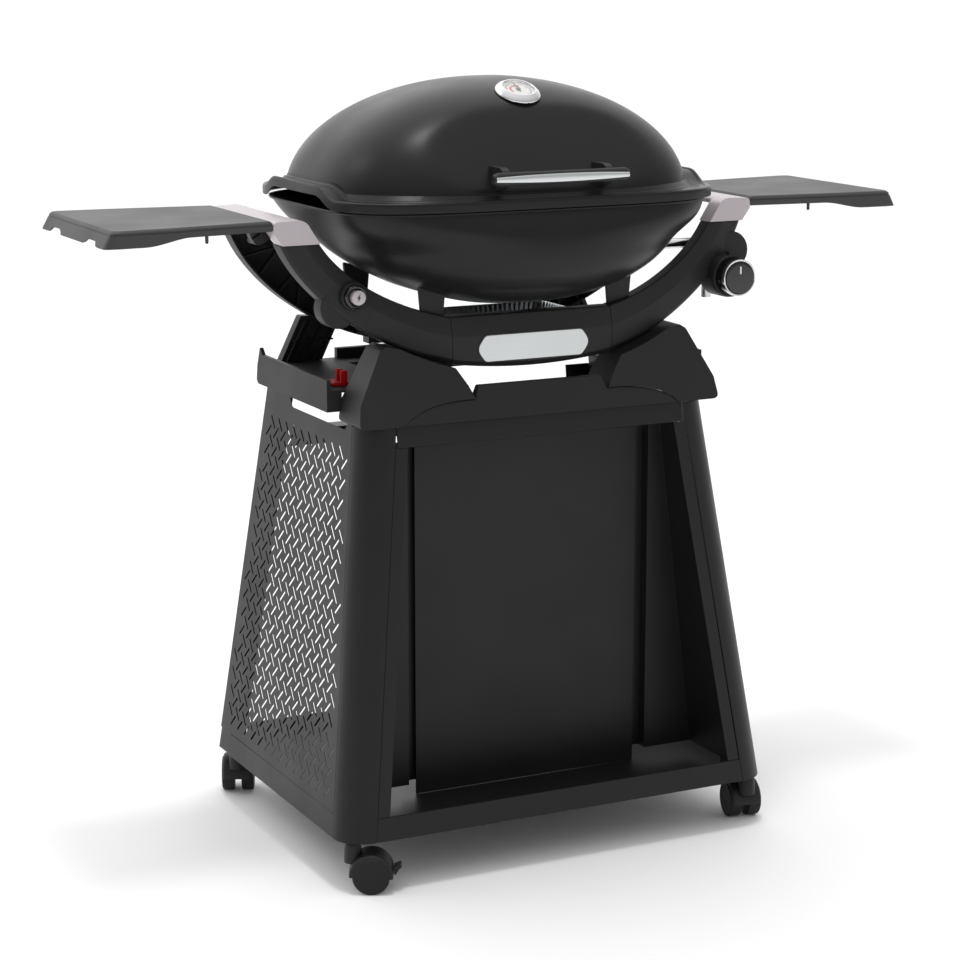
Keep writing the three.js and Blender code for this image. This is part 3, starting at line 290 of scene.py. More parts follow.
def mirrored_back(part):
    return moved(part, lambda x, y, z: (x, 2 * CRADLE_MID_Y - y, z))


def circle(radius, count=48):
    return [(radius * math.cos(2 * math.pi * i / count), radius * math.sin(2 * math.pi * i / count))
            for i in range(count)]


def turned(profile, axis="z", centre=(0, 0, 0), count=48, wrap=False):
    """A turned part: the profile's points are (radius, place along the axis)."""
    rings = []
    for radius, along in profile:
        ring = circle(max(radius, 0.05), count)
        if axis == "z":
            rings.append([(a, b, along) for a, b in ring])
        elif axis == "y":
            rings.append([(a, along, b) for a, b in ring])
        else:
            rings.append([(along, a, b) for a, b in ring])
    cx, cy, cz = centre
    return moved(loft(rings, wrap=wrap), lambda x, y, z: (x + cx, y + cy, z + cz))


def rounded(points, radius, steps=5):
    """A closed outline with its corners rounded. The radius is one number or one per corner."""
    result = []
    for i, point in enumerate(points):
        corner = Vector(point)
        before, after = Vector(points[i - 1]) - corner, Vector(points[(i + 1) % len(points)]) - corner
        size = radius[i] if isinstance(radius, (list, tuple)) else radius
        if size <= 0:
            result.append(tuple(corner))
            continue
        reach = size / math.tan(before.angle(after) / 2)
        reach = min(reach, before.length * 0.48, after.length * 0.48)
        start, end = corner + before.normalized() * reach, corner + after.normalized() * reach
        for k in range(steps + 1):
            t = k / steps
            result.append(tuple(start * (1 - t) ** 2 + corner * 2 * t * (1 - t) + end * t * t))
    return result


def plate_xz(outline, y0, y1):
    return loft([[(x, y, z) for x, z in outline] for y in (y0, y1)])


def plate_yz(outline, x0, x1):
    return loft([[(x, y, z) for y, z in outline] for x in (x0, x1)])


def plate_xy(outline, z0, z1):
    return loft([[(x, y, z) for x, y in outline] for z in (z0, z1)])


def block(x0, x1, y0, y1, z0, z1):
    return plate_xy([(x0, y0), (x1, y0), (x1, y1), (x0, y1)], z0, z1)


def bezier(points, count):
    """Points along a cubic or quadratic curve."""
    order = len(points) - 1
    result = []
    for i in range(count + 1):
        t = i / count
        place = Vector((0, 0))
        for k, point in enumerate(points):
            place += Vector(point) * math.comb(order, k) * t ** k * (1 - t) ** (order - k)
        result.append((place.x, place.y))
    return result


# ---------- pieces ----------
def smoothing_group():
    """Smooth shading with sharp edges kept where faces meet at more than 30 degrees."""
    group = bpy.data.node_groups.new("smooth_by_angle", "GeometryNodeTree")
    group.interface.new_socket("Geometry", in_out="INPUT", socket_type="NodeSocketGeometry")
    group.interface.new_socket("Geometry", in_out="OUTPUT", socket_type="NodeSocketGeometry")
    nodes = group.nodes
    start, end = nodes.new("NodeGroupInput"), nodes.new("NodeGroupOutput")
    bare = nodes.new("GeometryNodeRemoveAttribute")
    bare.inputs["Name"].default_value = "custom_normal"
    smooth = nodes.new("GeometryNodeSetShadeSmooth")
    smooth.domain = "FACE"
    sharp = nodes.new("GeometryNodeSetShadeSmooth")
    sharp.domain = "EDGE"
    sharp.inputs["Shade Smooth"].default_value = False
    angle = nodes.new("GeometryNodeInputMeshEdgeAngle")
    compare = nodes.new("FunctionNodeCompare")
    compare.data_type = "FLOAT"
    compare.operation = "GREATER_THAN"
    compare.inputs["B"].default_value = math.radians(30)
    link = group.links.new
    link(start.outputs[0], bare.inputs["Geometry"])
    link(bare.outputs["Geometry"], smooth.inputs["Geometry"])
    link(angle.outputs["Unsigned Angle"], compare.inputs["A"])
    link(compare.outputs["Result"], sharp.inputs["Selection"])
    link(smooth.outputs["Geometry"], sharp.inputs["Geometry"])
    link(sharp.outputs["Geometry"], end.inputs[0])
    return group


SMOOTHING = smoothing_group()


def soften(obj, bevel=0.8, weld=False):
    """Rounds the sharp edges by a small radius and shades the rest smoothly."""
    if weld:
        merge = obj.modifiers.new("weld", "WELD")
        merge.merge_threshold = 0.02 * MM
        flat = obj.modifiers.new("flat", "DECIMATE")
        flat.decimate_type = "DISSOLVE"
        flat.angle_limit = math.radians(0.6)
    if bevel > 0:
        edge = obj.modifiers.new("edge", "BEVEL")
        edge.width = bevel * MM
        edge.segments = 2
        edge.limit_method = "ANGLE"
        edge.angle_limit = math.radians(32)
        edge.use_clamp_overlap = True
    smooth = obj.modifiers.new("smooth", "NODES")
    smooth.node_group = SMOOTHING
    weighted = obj.modifiers.new("weighted", "WEIGHTED_NORMAL")
    weighted.keep_sharp = True
    return obj


def piece(name, part, body, finish, bevel=0.8, replaces=()):
    mesh = bpy.data.meshes.new(name)
    corners, faces = part
    mesh.from_pydata([at(*c) for c in corners], [], faces)
    shape = bmesh.new()
    shape.from_mesh(mesh)
    bmesh.ops.recalc_face_normals(shape, faces=shape.faces)
    shape.to_mesh(mesh)
    shape.free()
    return place(bpy.data.objects.new(name, mesh), body, finish, bevel, replaces)


def place(obj, body, finish, bevel=0.8, replaces=()):
    SCENE.collection.objects.link(obj)
    obj.data.materials.append(FINISHES.get(finish) or EXTRA[finish])
    soften(obj, bevel)
    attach(obj, body)
    if replaces:
        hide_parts(*replaces)
    return obj


SIDES = (("right", lambda part: part), ("left", mirrored))


def pair(name, part, body, finish, bevel=0.8, replaces=()):
    """The right side's part and its mirror image. The body's name may end in the side's."""
    for side, turn in SIDES:
        stands_for = [f"{node}_{side}" for node in replaces]
        rides = body.format(side=side)
        piece(f"{name}_{side}_look", turn(part), rides, finish, bevel, stands_for)


# ---------- camera, light and floor ----------
def set_stage():
    camera = bpy.data.objects.new("camera", bpy.data.cameras.new("camera"))
    camera.data.lens = LENS
    camera.data.sensor_width = 36
    camera.data.clip_end = 300
    camera.location = CAMERA_PLACE
    camera.rotation_euler = (math.radians(90 - CAMERA_DOWN), 0, math.radians(-CAMERA_RIGHT))
    SCENE.collection.objects.link(camera)
    SCENE.camera = camera
    SCENE.view_settings.view_transform = "Standard"

    ground = bpy.data.meshes.new("floor")
    corners = [(-1, -1), (1, -1), (1, 1), (-1, 1)]
    ground.from_pydata([(x * FLOOR_REACH, y * FLOOR_REACH, 0) for x, y in corners], [], [(0, 1, 2, 3)])
    floor = bpy.data.objects.new("floor", ground)
    SCENE.collection.objects.link(floor)
    pale = surface("pale_floor", "fdfdfd", 0.9, level=0.05, grain=40, bump=0.0, tint=0.004)
    ground.materials.append(pale)
    set_world()
    add_light("overhead", (-0.37, -0.38, 6.2), (0, 0, 0.8), 0.9, 75)
    add_light("left_shoulder", (-2.6, 1.2, 3.4), (0, 0, 1.0), 1.3, 7)


def set_world():
    """White surroundings that brighten towards the zenith and the back."""
    world = bpy.data.worlds.new("studio")
    SCENE.world = world
    world.use_nodes = True
    nodes = world.node_tree.nodes
    link = world.node_tree.links.new
    background = nodes["Background"]
    background.inputs["Color"].default_value = (1, 1, 1, 1)
    direction = nodes.new("ShaderNodeTexCoord")
    split = nodes.new("ShaderNodeSeparateXYZ")
    link(direction.outputs["Generated"], split.inputs["Vector"])
    parts = []
    for axis, least, most in (("Z", 0.3, 1.1), ("Y", 0.0, 1.0)):
        rise = nodes.new("ShaderNodeMapRange")
        rise.inputs["To Min"].default_value = least
        rise.inputs["To Max"].default_value = most
        link(split.outputs[axis], rise.inputs["Value"])
        parts.append(rise.outputs["Result"])
    total = nodes.new("ShaderNodeMath")
    link(parts[0], total.inputs[0])
    link(parts[1], total.inputs[1])
    link(total.outputs[0], background.inputs["Strength"])


def add_light(name, location, target, size, power):
    light = bpy.data.lights.new(name, "AREA")
    light.shape = "DISK"
    light.size = size
    light.energy = power
    lamp = bpy.data.objects.new(name, light)
    lamp.location = location
    lamp.rotation_euler = (Vector(target) - Vector(location)).to_track_quat("-Z", "Y").to_euler()
    SCENE.collection.objects.link(lamp)


# ---------- lid and bowl ----------
def plan_point(angle, half_x, half_y, square):
    """A point of an outline between an ellipse and a rectangle."""
    c, s = math.cos(angle), math.sin(angle)
    power = 2 / square
    x = math.copysign(abs(c) ** power, c) * half_x
    y = math.copysign(abs(s) ** power, s) * half_y
    return x, LID_Y + y


def even_angles(count, square):
    """Angles whose points lie at even distances along the outline."""
    fine = 4000
    points = [Vector(plan_point(2 * math.pi * i / fine, LID_HALF_X, LID_HALF_Y, square))
              for i in range(fine + 1)]
    lengths = [0.0]
    for a, b in zip(points, points[1:]):
        lengths.append(lengths[-1] + (b - a).length)
    angles, k = [], 0
    for i in range(count):
        goal = lengths[-1] * i / count
        while lengths[k + 1] < goal:
            k += 1
        share = (goal - lengths[k]) / (lengths[k + 1] - lengths[k])
        angles.append(2 * math.pi * (k + share) / fine)
    return angles


ANGLES = even_angles(160, 3.4)


def vent_share(y):
    """How far a point of the rim is inside the side vents, from 0 to 1."""
    return 1 - smoothstep(abs(y - LID_Y) - HOOD_HALF_Y, 0, HOOD_RAMP)


def lid_point(angle, level, inset):
    """A point of the dome: level 0 is the crown and 1 the base."""
    fall = level * math.pi / 2
    size = math.sin(fall)
    x, y = plan_point(angle, (LID_HALF_X - inset) * size, (LID_HALF_Y - inset) * size, LID_SQUARE)
    z = LID_BASE + (LID_HEIGHT - inset) * math.cos(fall)
    facet = FACET_Y + inset + (z - FACET_Z) * FACET_LEAN
    return x, (y + facet + math.hypot(y - facet, FACET_SOFT)) / 2, z


def lid_ring(level, inset):
    return [lid_point(angle, level, inset) for angle in ANGLES]


def flange_ring(share, height, inset=0.0):
    """A ring between the dome's foot, at share 0, and the rim's outer edge, at share 1."""
    ring = []
    for angle in ANGLES:
        foot = lid_point(angle, FOOT_LEVEL, inset)
        edge = plan_point(angle, RIM_HALF_X, RIM_HALF_Y, RIM_SQUARE)
        x, y = foot[0] + (edge[0] - foot[0]) * share, foot[1] + (edge[1] - foot[1]) * share
        lift = HOOD_LIFT * vent_share(y) if abs(x) > LID_HALF_X / 2 else 0
        ring.append((x, y, height + lift))
    return ring


def lid_shell():
    steps = 37
    levels = [0.015 + (FOOT_LEVEL - 0.025) * i / steps for i in range(steps + 1)]
    outer = [lid_ring(level, 0) for level in levels]
    crest = [(0.0, 6.0), (0.03, 3.4), (0.08, 2.6), (0.16, 2.6), (0.2, 2.0), (0.24, 0.2), (0.5, 0.0),
             (0.74, 0.2), (0.79, 1.9), (0.84, 2.4), (0.93, 2.2), (0.985, 0.6), (1.0, -1.6), (1.0, -3.4)]
    rim = [flange_ring(share, RIM_TOP + rise) for share, rise in crest]
    under = [(1.0, RIM_BOTTOM + 1.4), (0.985, RIM_BOTTOM + 0.3), (0.93, RIM_BOTTOM),
             (0.84, RIM_BOTTOM + 0.2), (0.8, RIM_BOTTOM + 2), (0.78, RIM_TOP - 5), (0.3, RIM_TOP - 3)]
    rim += [flange_ring(share, height) for share, height in under]
    inner = [lid_ring(level, LID_WALL) for level in reversed(levels)]
    return loft(outer + rim + inner)


def knuckle(x):
    outline = [(236, 1023), (236, 1013), (LID_HINGE_Y - 9, 1012)]
    for i in range(13):
        turn = math.pi + math.pi * 1.5 * i / 12
        outline.append((LID_HINGE_Y + 8 * math.cos(turn), LID_HINGE_Z + 8 * math.sin(turn)))
    return plate_yz(outline, x - 10, x + 10)


BOWL_PROFILE = [(0, 855), (90, 861), (170, 882), (214, 901), (247, 921), (274, 944), (297, 975),
                (BOWL_HALF_X, BOWL_RIM - 4)]


def bowl_profile(t):
    """A smooth curve through the bowl's profile, from the drain to the rim."""
    last = len(BOWL_PROFILE) - 1
    i = min(int(t * last), last - 1)
    u = t * last - i
    points = [Vector(BOWL_PROFILE[min(max(k, 0), last)]) for k in (i - 1, i, i + 1, i + 2)]
    if i == 0:
        points[0] = points[1] * 2 - points[2]
    if i == last - 1:
        points[3] = points[2] * 2 - points[1]
    a, b, c, d = points
    return ((b * 2) + (c - a) * u + (a * 2 - b * 5 + c * 4 - d) * u * u
            + (b * 3 - a - c * 3 + d) * u ** 3) / 2


def bowl_ring(t, offset):
    radius, z = bowl_profile(t)
    square = BOWL_SQUARE + (RIM_SQUARE - BOWL_SQUARE) * smoothstep(z, 940, BOWL_RIM)
    half_x = max(radius + offset, 2)
    half_y = max(radius * BOWL_HALF_Y / BOWL_HALF_X + offset, 2)
    lean = BOWL_LEAN * (BOWL_RIM - z)
    ring = []
    for angle in ANGLES:
        x, y = plan_point(angle, half_x, half_y, square)
        ring.append((x, y - lean, z - offset * (1 - t)))
    return ring


def bowl_shell():
    steps = 40
    outer = [bowl_ring(0.02 + 0.98 * i / steps, 0) for i in range(steps + 1)]
    inner = [bowl_ring(0.02 + 0.98 * i / steps, -BOWL_WALL) for i in reversed(range(steps + 1))]
    lip = [(2.2, -4.2), (3.0, -3.2), (3.2, -1.6), (2.6, -0.4), (1.4, 0.0), (-2.0, 0.0), (-2.8, -0.8)]
    rim = []
    for out, rise in lip:
        points = [plan_point(a, BOWL_HALF_X + out, BOWL_HALF_Y + out, RIM_SQUARE) for a in ANGLES]
        rim.append([(x, y, BOWL_RIM + rise) for x, y in points])
    return loft(outer + rim + inner, wrap=True)


def hinge_ears(x):
    outline = [(226, BOWL_RIM - 16)]
    for i in range(9):
        turn = -math.pi / 2 + math.pi * i / 8
        outline.append((LID_HINGE_Y + 7 * math.cos(turn), LID_HINGE_Z + 7 * math.sin(turn)))
    outline += [(LID_HINGE_Y - 8, LID_HINGE_Z), (226, BOWL_RIM - 4)]
    pin = turned([(4, x - 18), (4, x + 18)], "x", (0, LID_HINGE_Y, LID_HINGE_Z), 24)
    return joined(plate_yz(outline, x - 16, x - 11), plate_yz(outline, x + 11, x + 16), pin)


def add_lid_and_bowl():
    piece("lid_shell", lid_shell(), "lid", "black_enamel", 0, ["lid"])
    knuckles = joined(*(knuckle(x) for x in LID_HINGE_XS))
    piece("lid_knuckles", knuckles, "lid", "black_enamel", 0.8)
    piece("bowl_shell", bowl_shell(), "cart", "black_enamel", 0, ["bowl"])
    ears = joined(*(hinge_ears(x) for x in LID_HINGE_XS))
    piece("bowl_hinge_ears", ears, "cart", "black_enamel", 0.6)


# ---------- cradle ----------
def arm_lean(x):
    return ARM_LEAN * max(0.0, abs(x) - SEAM_X)


def channel_ring(outer, inner, lower_bevel):
    """A section of the cradle: a channel with a crease along its front and an open back."""
    a, b = Vector(outer), Vector(inner)
    width = (b - a).length
    along = (b - a) / width
    crease = 0.6 * width
    profile = [(0, ARM_DEPTH), (0, lower_bevel + 2.5), (0.8, lower_bevel + 0.6),
               (lower_bevel * 1.1 + 1.5, 0.5), (lower_bevel * 1.1 + 4.5, 0), (crease - 1, 0),
               (crease + 1, 0.25), (width - 3, 7.5), (width - 1, 8.6), (width, 10.5), (width, ARM_DEPTH),
               (width - 3, ARM_DEPTH), (width - 3, 13), (crease, 4), (lower_bevel + 4, 4),
               (3, lower_bevel + 5), (3, ARM_DEPTH)]
    ring = []
    for share, depth in profile:
        spot = a + along * share
        ring.append((spot.x, BAR_FRONT + depth + arm_lean(spot.x), spot.y))
    return ring


ARM_STEPS = 40
ARM_OUTER = bezier([(SEAM_X, 775), (215, 793), (345, 860), (388, ARM_TOP)], ARM_STEPS)
ARM_INNER = bezier([(SEAM_X, BAR_TOP), (225, 864), (297, 910), (328, ARM_TOP)], ARM_STEPS)


def bar_bottom(x):
    return 764.6 + 10.4 * (x / SEAM_X) ** 2


def arm_shell():
    sections = [channel_ring(o, i, 6 - 4 * smoothstep(k, 0, ARM_STEPS / 3))
                for k, (o, i) in enumerate(zip(ARM_OUTER, ARM_INNER))]
    return moved(loft(sections), lambda x, y, z: (x + 0.4 * (x < SEAM_X + 1), y, z))


def arm_ribs():
    """Stiffening ribs across the open back of an arm, in a zigzag."""
    ribs = []
    for k in range(4, ARM_STEPS - 3, 5):
        a = Vector(ARM_OUTER[k])
        b = Vector(ARM_INNER[k + (2 if k % 2 else -2)])
        side = Vector((b - a).yx).normalized()
        side.x = -side.x
        outline = [a + side * 1.2, b + side * 1.2, b - side * 1.2, a - side * 1.2]
        front = BAR_FRONT + arm_lean((a.x + b.x) / 2)
        ribs.append(plate_xz([(p.x, p.y) for p in outline], front + 15, front + ARM_DEPTH - 4))
    return joined(*ribs)


def bowl_prop():
    """The flat strut between an arm and the bowl."""
    outline = rounded([(141, 826), (174, 832), (180, 897), (136, 884)], [0, 0, 3, 3])
    return plate_xz(outline, BAR_FRONT + 22, BAR_FRONT + 28)


def disc(x, z, radius, front, back):
    crown = 2.0
    profile = [(radius - 4, back), (radius, back), (radius, front + crown + 1),
               (radius - 0.9, front + crown * 0.3), (radius - crown - 1, front), (0, front - 0.1)]
    return turned(profile, "y", (x, 0, z), 64)


def boss(x, z, radius, front):
    """A round boss that ends in a raised lip around its hollow."""
    back = BAR_FRONT + arm_lean(x) + 20
    profile = [(radius + 1, back), (radius + 0.8, front + 7), (radius, front + 5.6), (radius, front + 2),
               (radius - 0.8, front + 0.4), (radius - 2.4, front), (radius - 4.5, front + 0.5),
               (radius - 5.5, front + 2.5), (radius - 6, front + 12), (0, front + 12)]
    return turned(profile, "y", (x, 0, z), 64)


def rear_foot():
    sole = TRAY_FLOOR + 0.4
    outline = rounded([(184, 812), (252, 816), (287, sole), (217, sole)], [4, 4, 2, 2])
    front, back = BAR_FRONT + 22, BAR_FRONT + 30
    ribs = []
    for x in (192, 213, 234, 245):
        rib = [(x, 808), (x + 2.4, 808), (x + 34.4, 746), (x + 32, 746)]
        ribs.append(plate_xz(rib, front, back))
    cross = block(200, 266, front, back, 776, 778.4)
    return joined(plate_xz(outline, BAR_FRONT + 6, BAR_FRONT + 24), cross, *ribs)


def tray_rail():
    front, rear = BAR_FRONT + ARM_DEPTH + 0.3, 2 * CRADLE_MID_Y - BAR_FRONT - 4
    flange = block(TRAY_RAIL_X - 14, TRAY_RAIL_X, front, rear, TRAY_RAIL_Z, TRAY_RAIL_Z + 10.7)
    wall = block(TRAY_RAIL_X - 5, TRAY_RAIL_X, front, rear, TRAY_RAIL_Z, TRAY_RAIL_Z + 20)
    return joined(flange, wall)


def badge_outline(grow):
    points = [(-97 - grow, 796), (-82 - grow * 0.5, 775 - grow), (82 + grow * 0.5, 775 - grow),
              (97 + grow, 796), (82 + grow * 0.5, 817 + grow), (-82 - grow * 0.5, 817 + grow)]
    return rounded(points, [18, 10, 10, 18, 10, 10], 6)


def hinge_covers():
    """Black covers over a bracket's ears, which hold the pins of a table."""
    plates = []
    for y in HINGE_YS:
        for y0, y1 in ((y - 13.4, y - 7.6), (y + 7.6, y + 13.4)):
            outline = [(384.6, 985.8), (384.6, 969.6), (HINGE_X - 3, HINGE_Z - 6.5)]
            outline += [(HINGE_X + 6.4 * math.cos(a), HINGE_Z + 6.4 * math.sin(a))
                        for a in (math.pi * (k / 8 - 0.5) for k in range(9))]
            outline += [(401.3, 978), (401.3, 985.8)]
            plates.append(plate_xz(outline, y0, y1))
    return joined(*plates)


def middle_bar():
    steps = [SEAM_X * (i / 24 * 2 - 1) * 0.9975 for i in range(25)]
    bar = loft([channel_ring((x, bar_bottom(x)), (x, BAR_TOP), 6) for x in steps])
    ribs = [block(x - 1.2, x + 1.2, BAR_FRONT + 14, BAR_FRONT + 28, 772, 836) for x in (-96, -48, 0, 48, 96)]
    return joined(bar, *ribs)


def arm_with_prop():
    return joined(arm_shell(), arm_ribs(), bowl_prop())


def arm_right():
    """The right arm with the knob's boss, a round housing behind it and a pointer above it."""
    back = BAR_FRONT + arm_lean(345)
    housing = disc(370, 914, 30, back + 2, back + 26)
    tab = rounded([(-5, 31), (5, 31), (4, 38), (-4, 38)], 1.5)
    pointer = moved(plate_xz(tab, BOSS_FACE + 2, BOSS_FACE + 12),
                    lambda x, y, z: (x + CONTROL_X, y, z + CONTROL_Z))
    return joined(arm_with_prop(), boss(CONTROL_X, CONTROL_Z, BOSS_R, BOSS_FACE), housing, pointer)


def arm_left():
    """The left arm with the igniter's boss and a round housing below it."""
    back = BAR_FRONT + arm_lean(322)
    housing = disc(-302, 866, 30, back - 1, back + 26)
    return joined(mirrored(arm_with_prop()), boss(IGNITER_X, IGNITER_Z, 21, IGNITER_FACE), housing)


def rear_cradle():
    half = joined(arm_with_prop(), rear_foot())
    arms = mirrored_back(joined(half, mirrored(half)))
    rear = 2 * CRADLE_MID_Y - BAR_FRONT - 2
    bar = block(-SEAM_X - 2, SEAM_X + 2, rear - 24, rear, TRAY_RAIL_Z - 24, TRAY_RAIL_Z + 2)
    return joined(arms, bar, tray_rail(), mirrored(tray_rail()))


def add_cradle():
    piece("cradle_bar_look", middle_bar(), "cart", "black_plastic", 0.5, ["cradle_bar_front"])
    piece("cradle_arm_right_look", arm_right(), "cart", "black_plastic", 0.6, ["cradle_arm_right"])
    piece("cradle_arm_left_look", arm_left(), "cart", "black_plastic", 0.6, ["cradle_arm_left"])
    piece("cradle_rear_look", rear_cradle(), "cart", "black_plastic", 0.5, ["cradle_rear"])
    pair("hinge_covers", hinge_covers(), "cart", "black_plastic", 0.3)
    badge = plate_xz(badge_outline(-1.4), BAR_FRONT - 2.3, BAR_FRONT - 0.2)
    piece("badge_plate_look", badge, "cart", "brushed_metal", 0.5, ["badge_plate"])
    gasket = plate_xz(badge_outline(0), BAR_FRONT - 1.0, BAR_FRONT + 1)
    piece("badge_gasket", gasket, "cart", "gloss_black", 0.3)


# ---------- side panels ----------
def side_x(z):
    return BASE_HALF_X - LEAN_X * (z - BASE_Z)


def front_y(z):
    return -(BASE_FRONT_Y - LEAN_FRONT * (z - BASE_Z))


def rear_y(z):
    return BASE_REAR_Y - LEAN_REAR * (z - BASE_Z)


def slot_outline(y, z, turn):
    """A slot with round ends, 26 long and 3.8 wide."""
    half, radius = 11.1, 1.9
    points = []
    for end in (1, -1):
        for k in range(5):
            around = (-math.pi / 2 + math.pi * k / 4) + (0 if end > 0 else math.pi)
            points.append((end * half + radius * math.cos(around), radius * math.sin(around)))
    c, s = math.cos(turn), math.sin(turn)
    return [(y + a * c - b * s, z + a * s + b * c) for a, b in points]


def panel_slots():
    """A herringbone of slots inside the panel's margins."""
    pitch, margin, low, high = 30.0, 21.0, 148.0, 664.0
    slots = []
    for row in range(19):
        for column in range(-9, 9):
            for shift, turn in ((0, -math.pi / 4), (pitch / 2, math.pi / 4)):
                y, z = column * pitch + shift, low + 6 + row * pitch + shift
                if z > high - 6:
                    continue
                if front_y(z) + LEG_R + margin < y < rear_y(z) - margin:
                    slots.append(slot_outline(y, z, turn))
    return slots


def panel_edge():
    """The outline of a side panel, with its front edge clear of the leg."""
    def seam(z):
        return front_y(z) + LEG_R + 2.2

    low = RAIL_TOP + 0.6
    chamfer = 21
    front, back = GRIP_ENDS
    points = [(seam(low), low), (rear_y(low), low), (rear_y(SIDE_TOP), SIDE_TOP), (back + chamfer, SIDE_TOP),
              (back, GRIP_BOTTOM), (front, GRIP_BOTTOM), (front - chamfer, SIDE_TOP),
              (seam(SIDE_TOP), SIDE_TOP)]
    return rounded(points, [0, 0, 0, 3, 6, 6, 3, 0], 3)


def perforated_sheet(edge, holes, half_thickness):
    """A flat mesh from an outline with holes, filled and thickened as a curve."""
    curve = bpy.data.curves.new("side_panel", "CURVE")
    curve.dimensions = "2D"
    curve.fill_mode = "BOTH"
    curve.extrude = half_thickness
    for outline in [edge, *holes]:
        spline = curve.splines.new("POLY")
        spline.points.add(len(outline) - 1)
        for point, (y, z) in zip(spline.points, outline):
            point.co = (y, z, 0, 1)
        spline.use_cyclic_u = True
    flat = bpy.data.objects.new("flat", curve)
    SCENE.collection.objects.link(flat)
    bpy.context.view_layer.update()
    solid = flat.evaluated_get(bpy.context.evaluated_depsgraph_get())
    mesh = bpy.data.meshes.new_from_object(solid)
    bpy.data.objects.remove(flat)
    mesh.materials.clear()
    return mesh


def side_panel(side):
    mesh = perforated_sheet(panel_edge(), panel_slots(), 0.4)
    sign = 1 if side == "right" else -1
    for vertex in mesh.vertices:
        y, z, depth = vertex.co
        vertex.co = at(sign * (side_x(z) - 1 + depth), y, z)
    shape = bmesh.new()
    shape.from_mesh(mesh)
    bmesh.ops.remove_doubles(shape, verts=shape.verts, dist=0.01 * MM)
    bmesh.ops.recalc_face_normals(shape, faces=shape.faces)
    shape.to_mesh(mesh)
    shape.free()
    panel = bpy.data.objects.new(f"side_panel_{side}_look", mesh)
    return place(panel, "cart", "cart_paint", 0, [f"side_panel_{side}"])


# ---------- side tables ----------
def apron_drop(x, y):
    deep = 15 + 10 * smoothstep(x, 530, 600)
    if x > TABLE_TIP_X - 18:
        for middle in (-72, 92):
            deep -= 7 * (1 - smoothstep(abs(y - middle), 16, 28))
    return deep


def table_outline(inset):
    points = [(TABLE_INNER_X, -114), (560, -135), (TABLE_OUTER_X, -141), (TABLE_OUTER_X, 163), (560, 155),
              (TABLE_INNER_X, 133)]
    outline = rounded(points, [1, 60, 11, 11, 60, 1], 8)
    dense = []
    for i, (x, y) in enumerate(outline):
        nx, ny = outline[(i + 1) % len(outline)]
        count = max(1, round(math.hypot(nx - x, ny - y) / 8))
        dense += [(x + (nx - x) * k / count, y + (ny - y) * k / count) for k in range(count)]
    mx, my = (TABLE_INNER_X + TABLE_OUTER_X) / 2, 11
    return [(mx + (x - mx) * (1 - inset / 124), my + (y - my) * (1 - inset / 145)) for x, y in dense]


def side_table():
    """A moulded top with a chamfer, a thin groove and an apron that deepens towards its end."""
    def ring(inset, share, rise=0.0):
        result = []
        for x, y in table_outline(inset):
            depth = apron_drop(x, y) * share - rise
            end = smoothstep(x, TABLE_OUTER_X - 14, TABLE_OUTER_X - inset)
            splay = (TABLE_TIP_X - TABLE_OUTER_X) * end * max(0.0, depth - 3) / 22
            result.append((x + splay, y, TABLE_TOP - depth))
        return result

    outside = [ring(4.5, 0), ring(3.2, 0, -0.2), ring(0.8, 0, -2.2), ring(0.1, 0, -3.2), ring(0, 0, -5.2),
               ring(0.8, 0, -5.6), ring(0.8, 0, -6.4), ring(0, 0, -6.8), ring(0, 1, 0.8), ring(0.8, 1, 0)]
    inside = [ring(2.2, 1, 0), ring(3, 1, 0.8), ring(3, 0, -4)]
    low, high = TABLE_TOP - 12, TABLE_TOP - 3.4
    ribs = [block(x - 1.2, x + 1.2, -108, 128, low, high) for x in (448, 498, 548, 598)]
    ribs += [block(412, 644, y - 1.2, y + 1.2, low, high) for y in (-70, -10, 50, 106)]
    lugs = []
    for y in HINGE_YS:
        lug = [(HINGE_X + 5, HINGE_Z - 3), (HINGE_X + 18, TABLE_TOP - 4), (HINGE_X - 4, TABLE_TOP - 4),
               (HINGE_X - 5, HINGE_Z)]
        lug += [(HINGE_X + 6 * math.cos(a), HINGE_Z + 6 * math.sin(a))
                for a in (math.pi * (1 + 0.8 * k / 6) for k in range(7))]
        lugs.append(plate_xz(lug, y - 7, y + 7))
    peg_profile = [(2.5, TABLE_TOP - 15), (2.5, TABLE_TOP - 24), (1.6, TABLE_TOP - 26)]
    peg = turned(peg_profile, "z", (505, -122, 0), 16)
    return joined(loft(outside + inside), *ribs, *lugs, peg)


# ---------- handle, gauge and controls ----------
def handle():
    rings = []
    for i in range(33):
        x = -HANDLE_HALF + 2 * HANDLE_HALF * i / 32
        end = 1 - smoothstep(HANDLE_HALF - abs(x), 0, 7)
        half_y, half_z = 8 - 2.5 * end, 10 - 3.5 * end
        rings.append([(x, HANDLE_Y + 2 + half_y * math.cos(a), HANDLE_Z + half_z * math.sin(a))
                      for a in (2 * math.pi * k / 28 for k in range(28))])
    bar = loft(rings)
    piece("handle_bar_look", bar, "lid", "black_plastic", 0.8, ["handle_bar"])
    sections = []
    for i in range(33):
        x = (HANDLE_HALF - 3) * (i / 16 - 1)
        bow = 3.4 + 2.6 * (1 - (x / HANDLE_HALF) ** 2)
        front = HANDLE_Y - 6.6
        sections.append([(x, front + 4, HANDLE_Z - bow), (x, front + 1.2, HANDLE_Z - bow),
                         (x, front + 0.2, HANDLE_Z - bow * 0.6), (x, front, HANDLE_Z),
                         (x, front + 0.2, HANDLE_Z + bow * 0.6), (x, front + 1.2, HANDLE_Z + bow),
                         (x, front + 4, HANDLE_Z + bow)])
    piece("handle_strip_look", loft(sections), "lid", "brushed_metal", 0.4, ["handle_strip"])


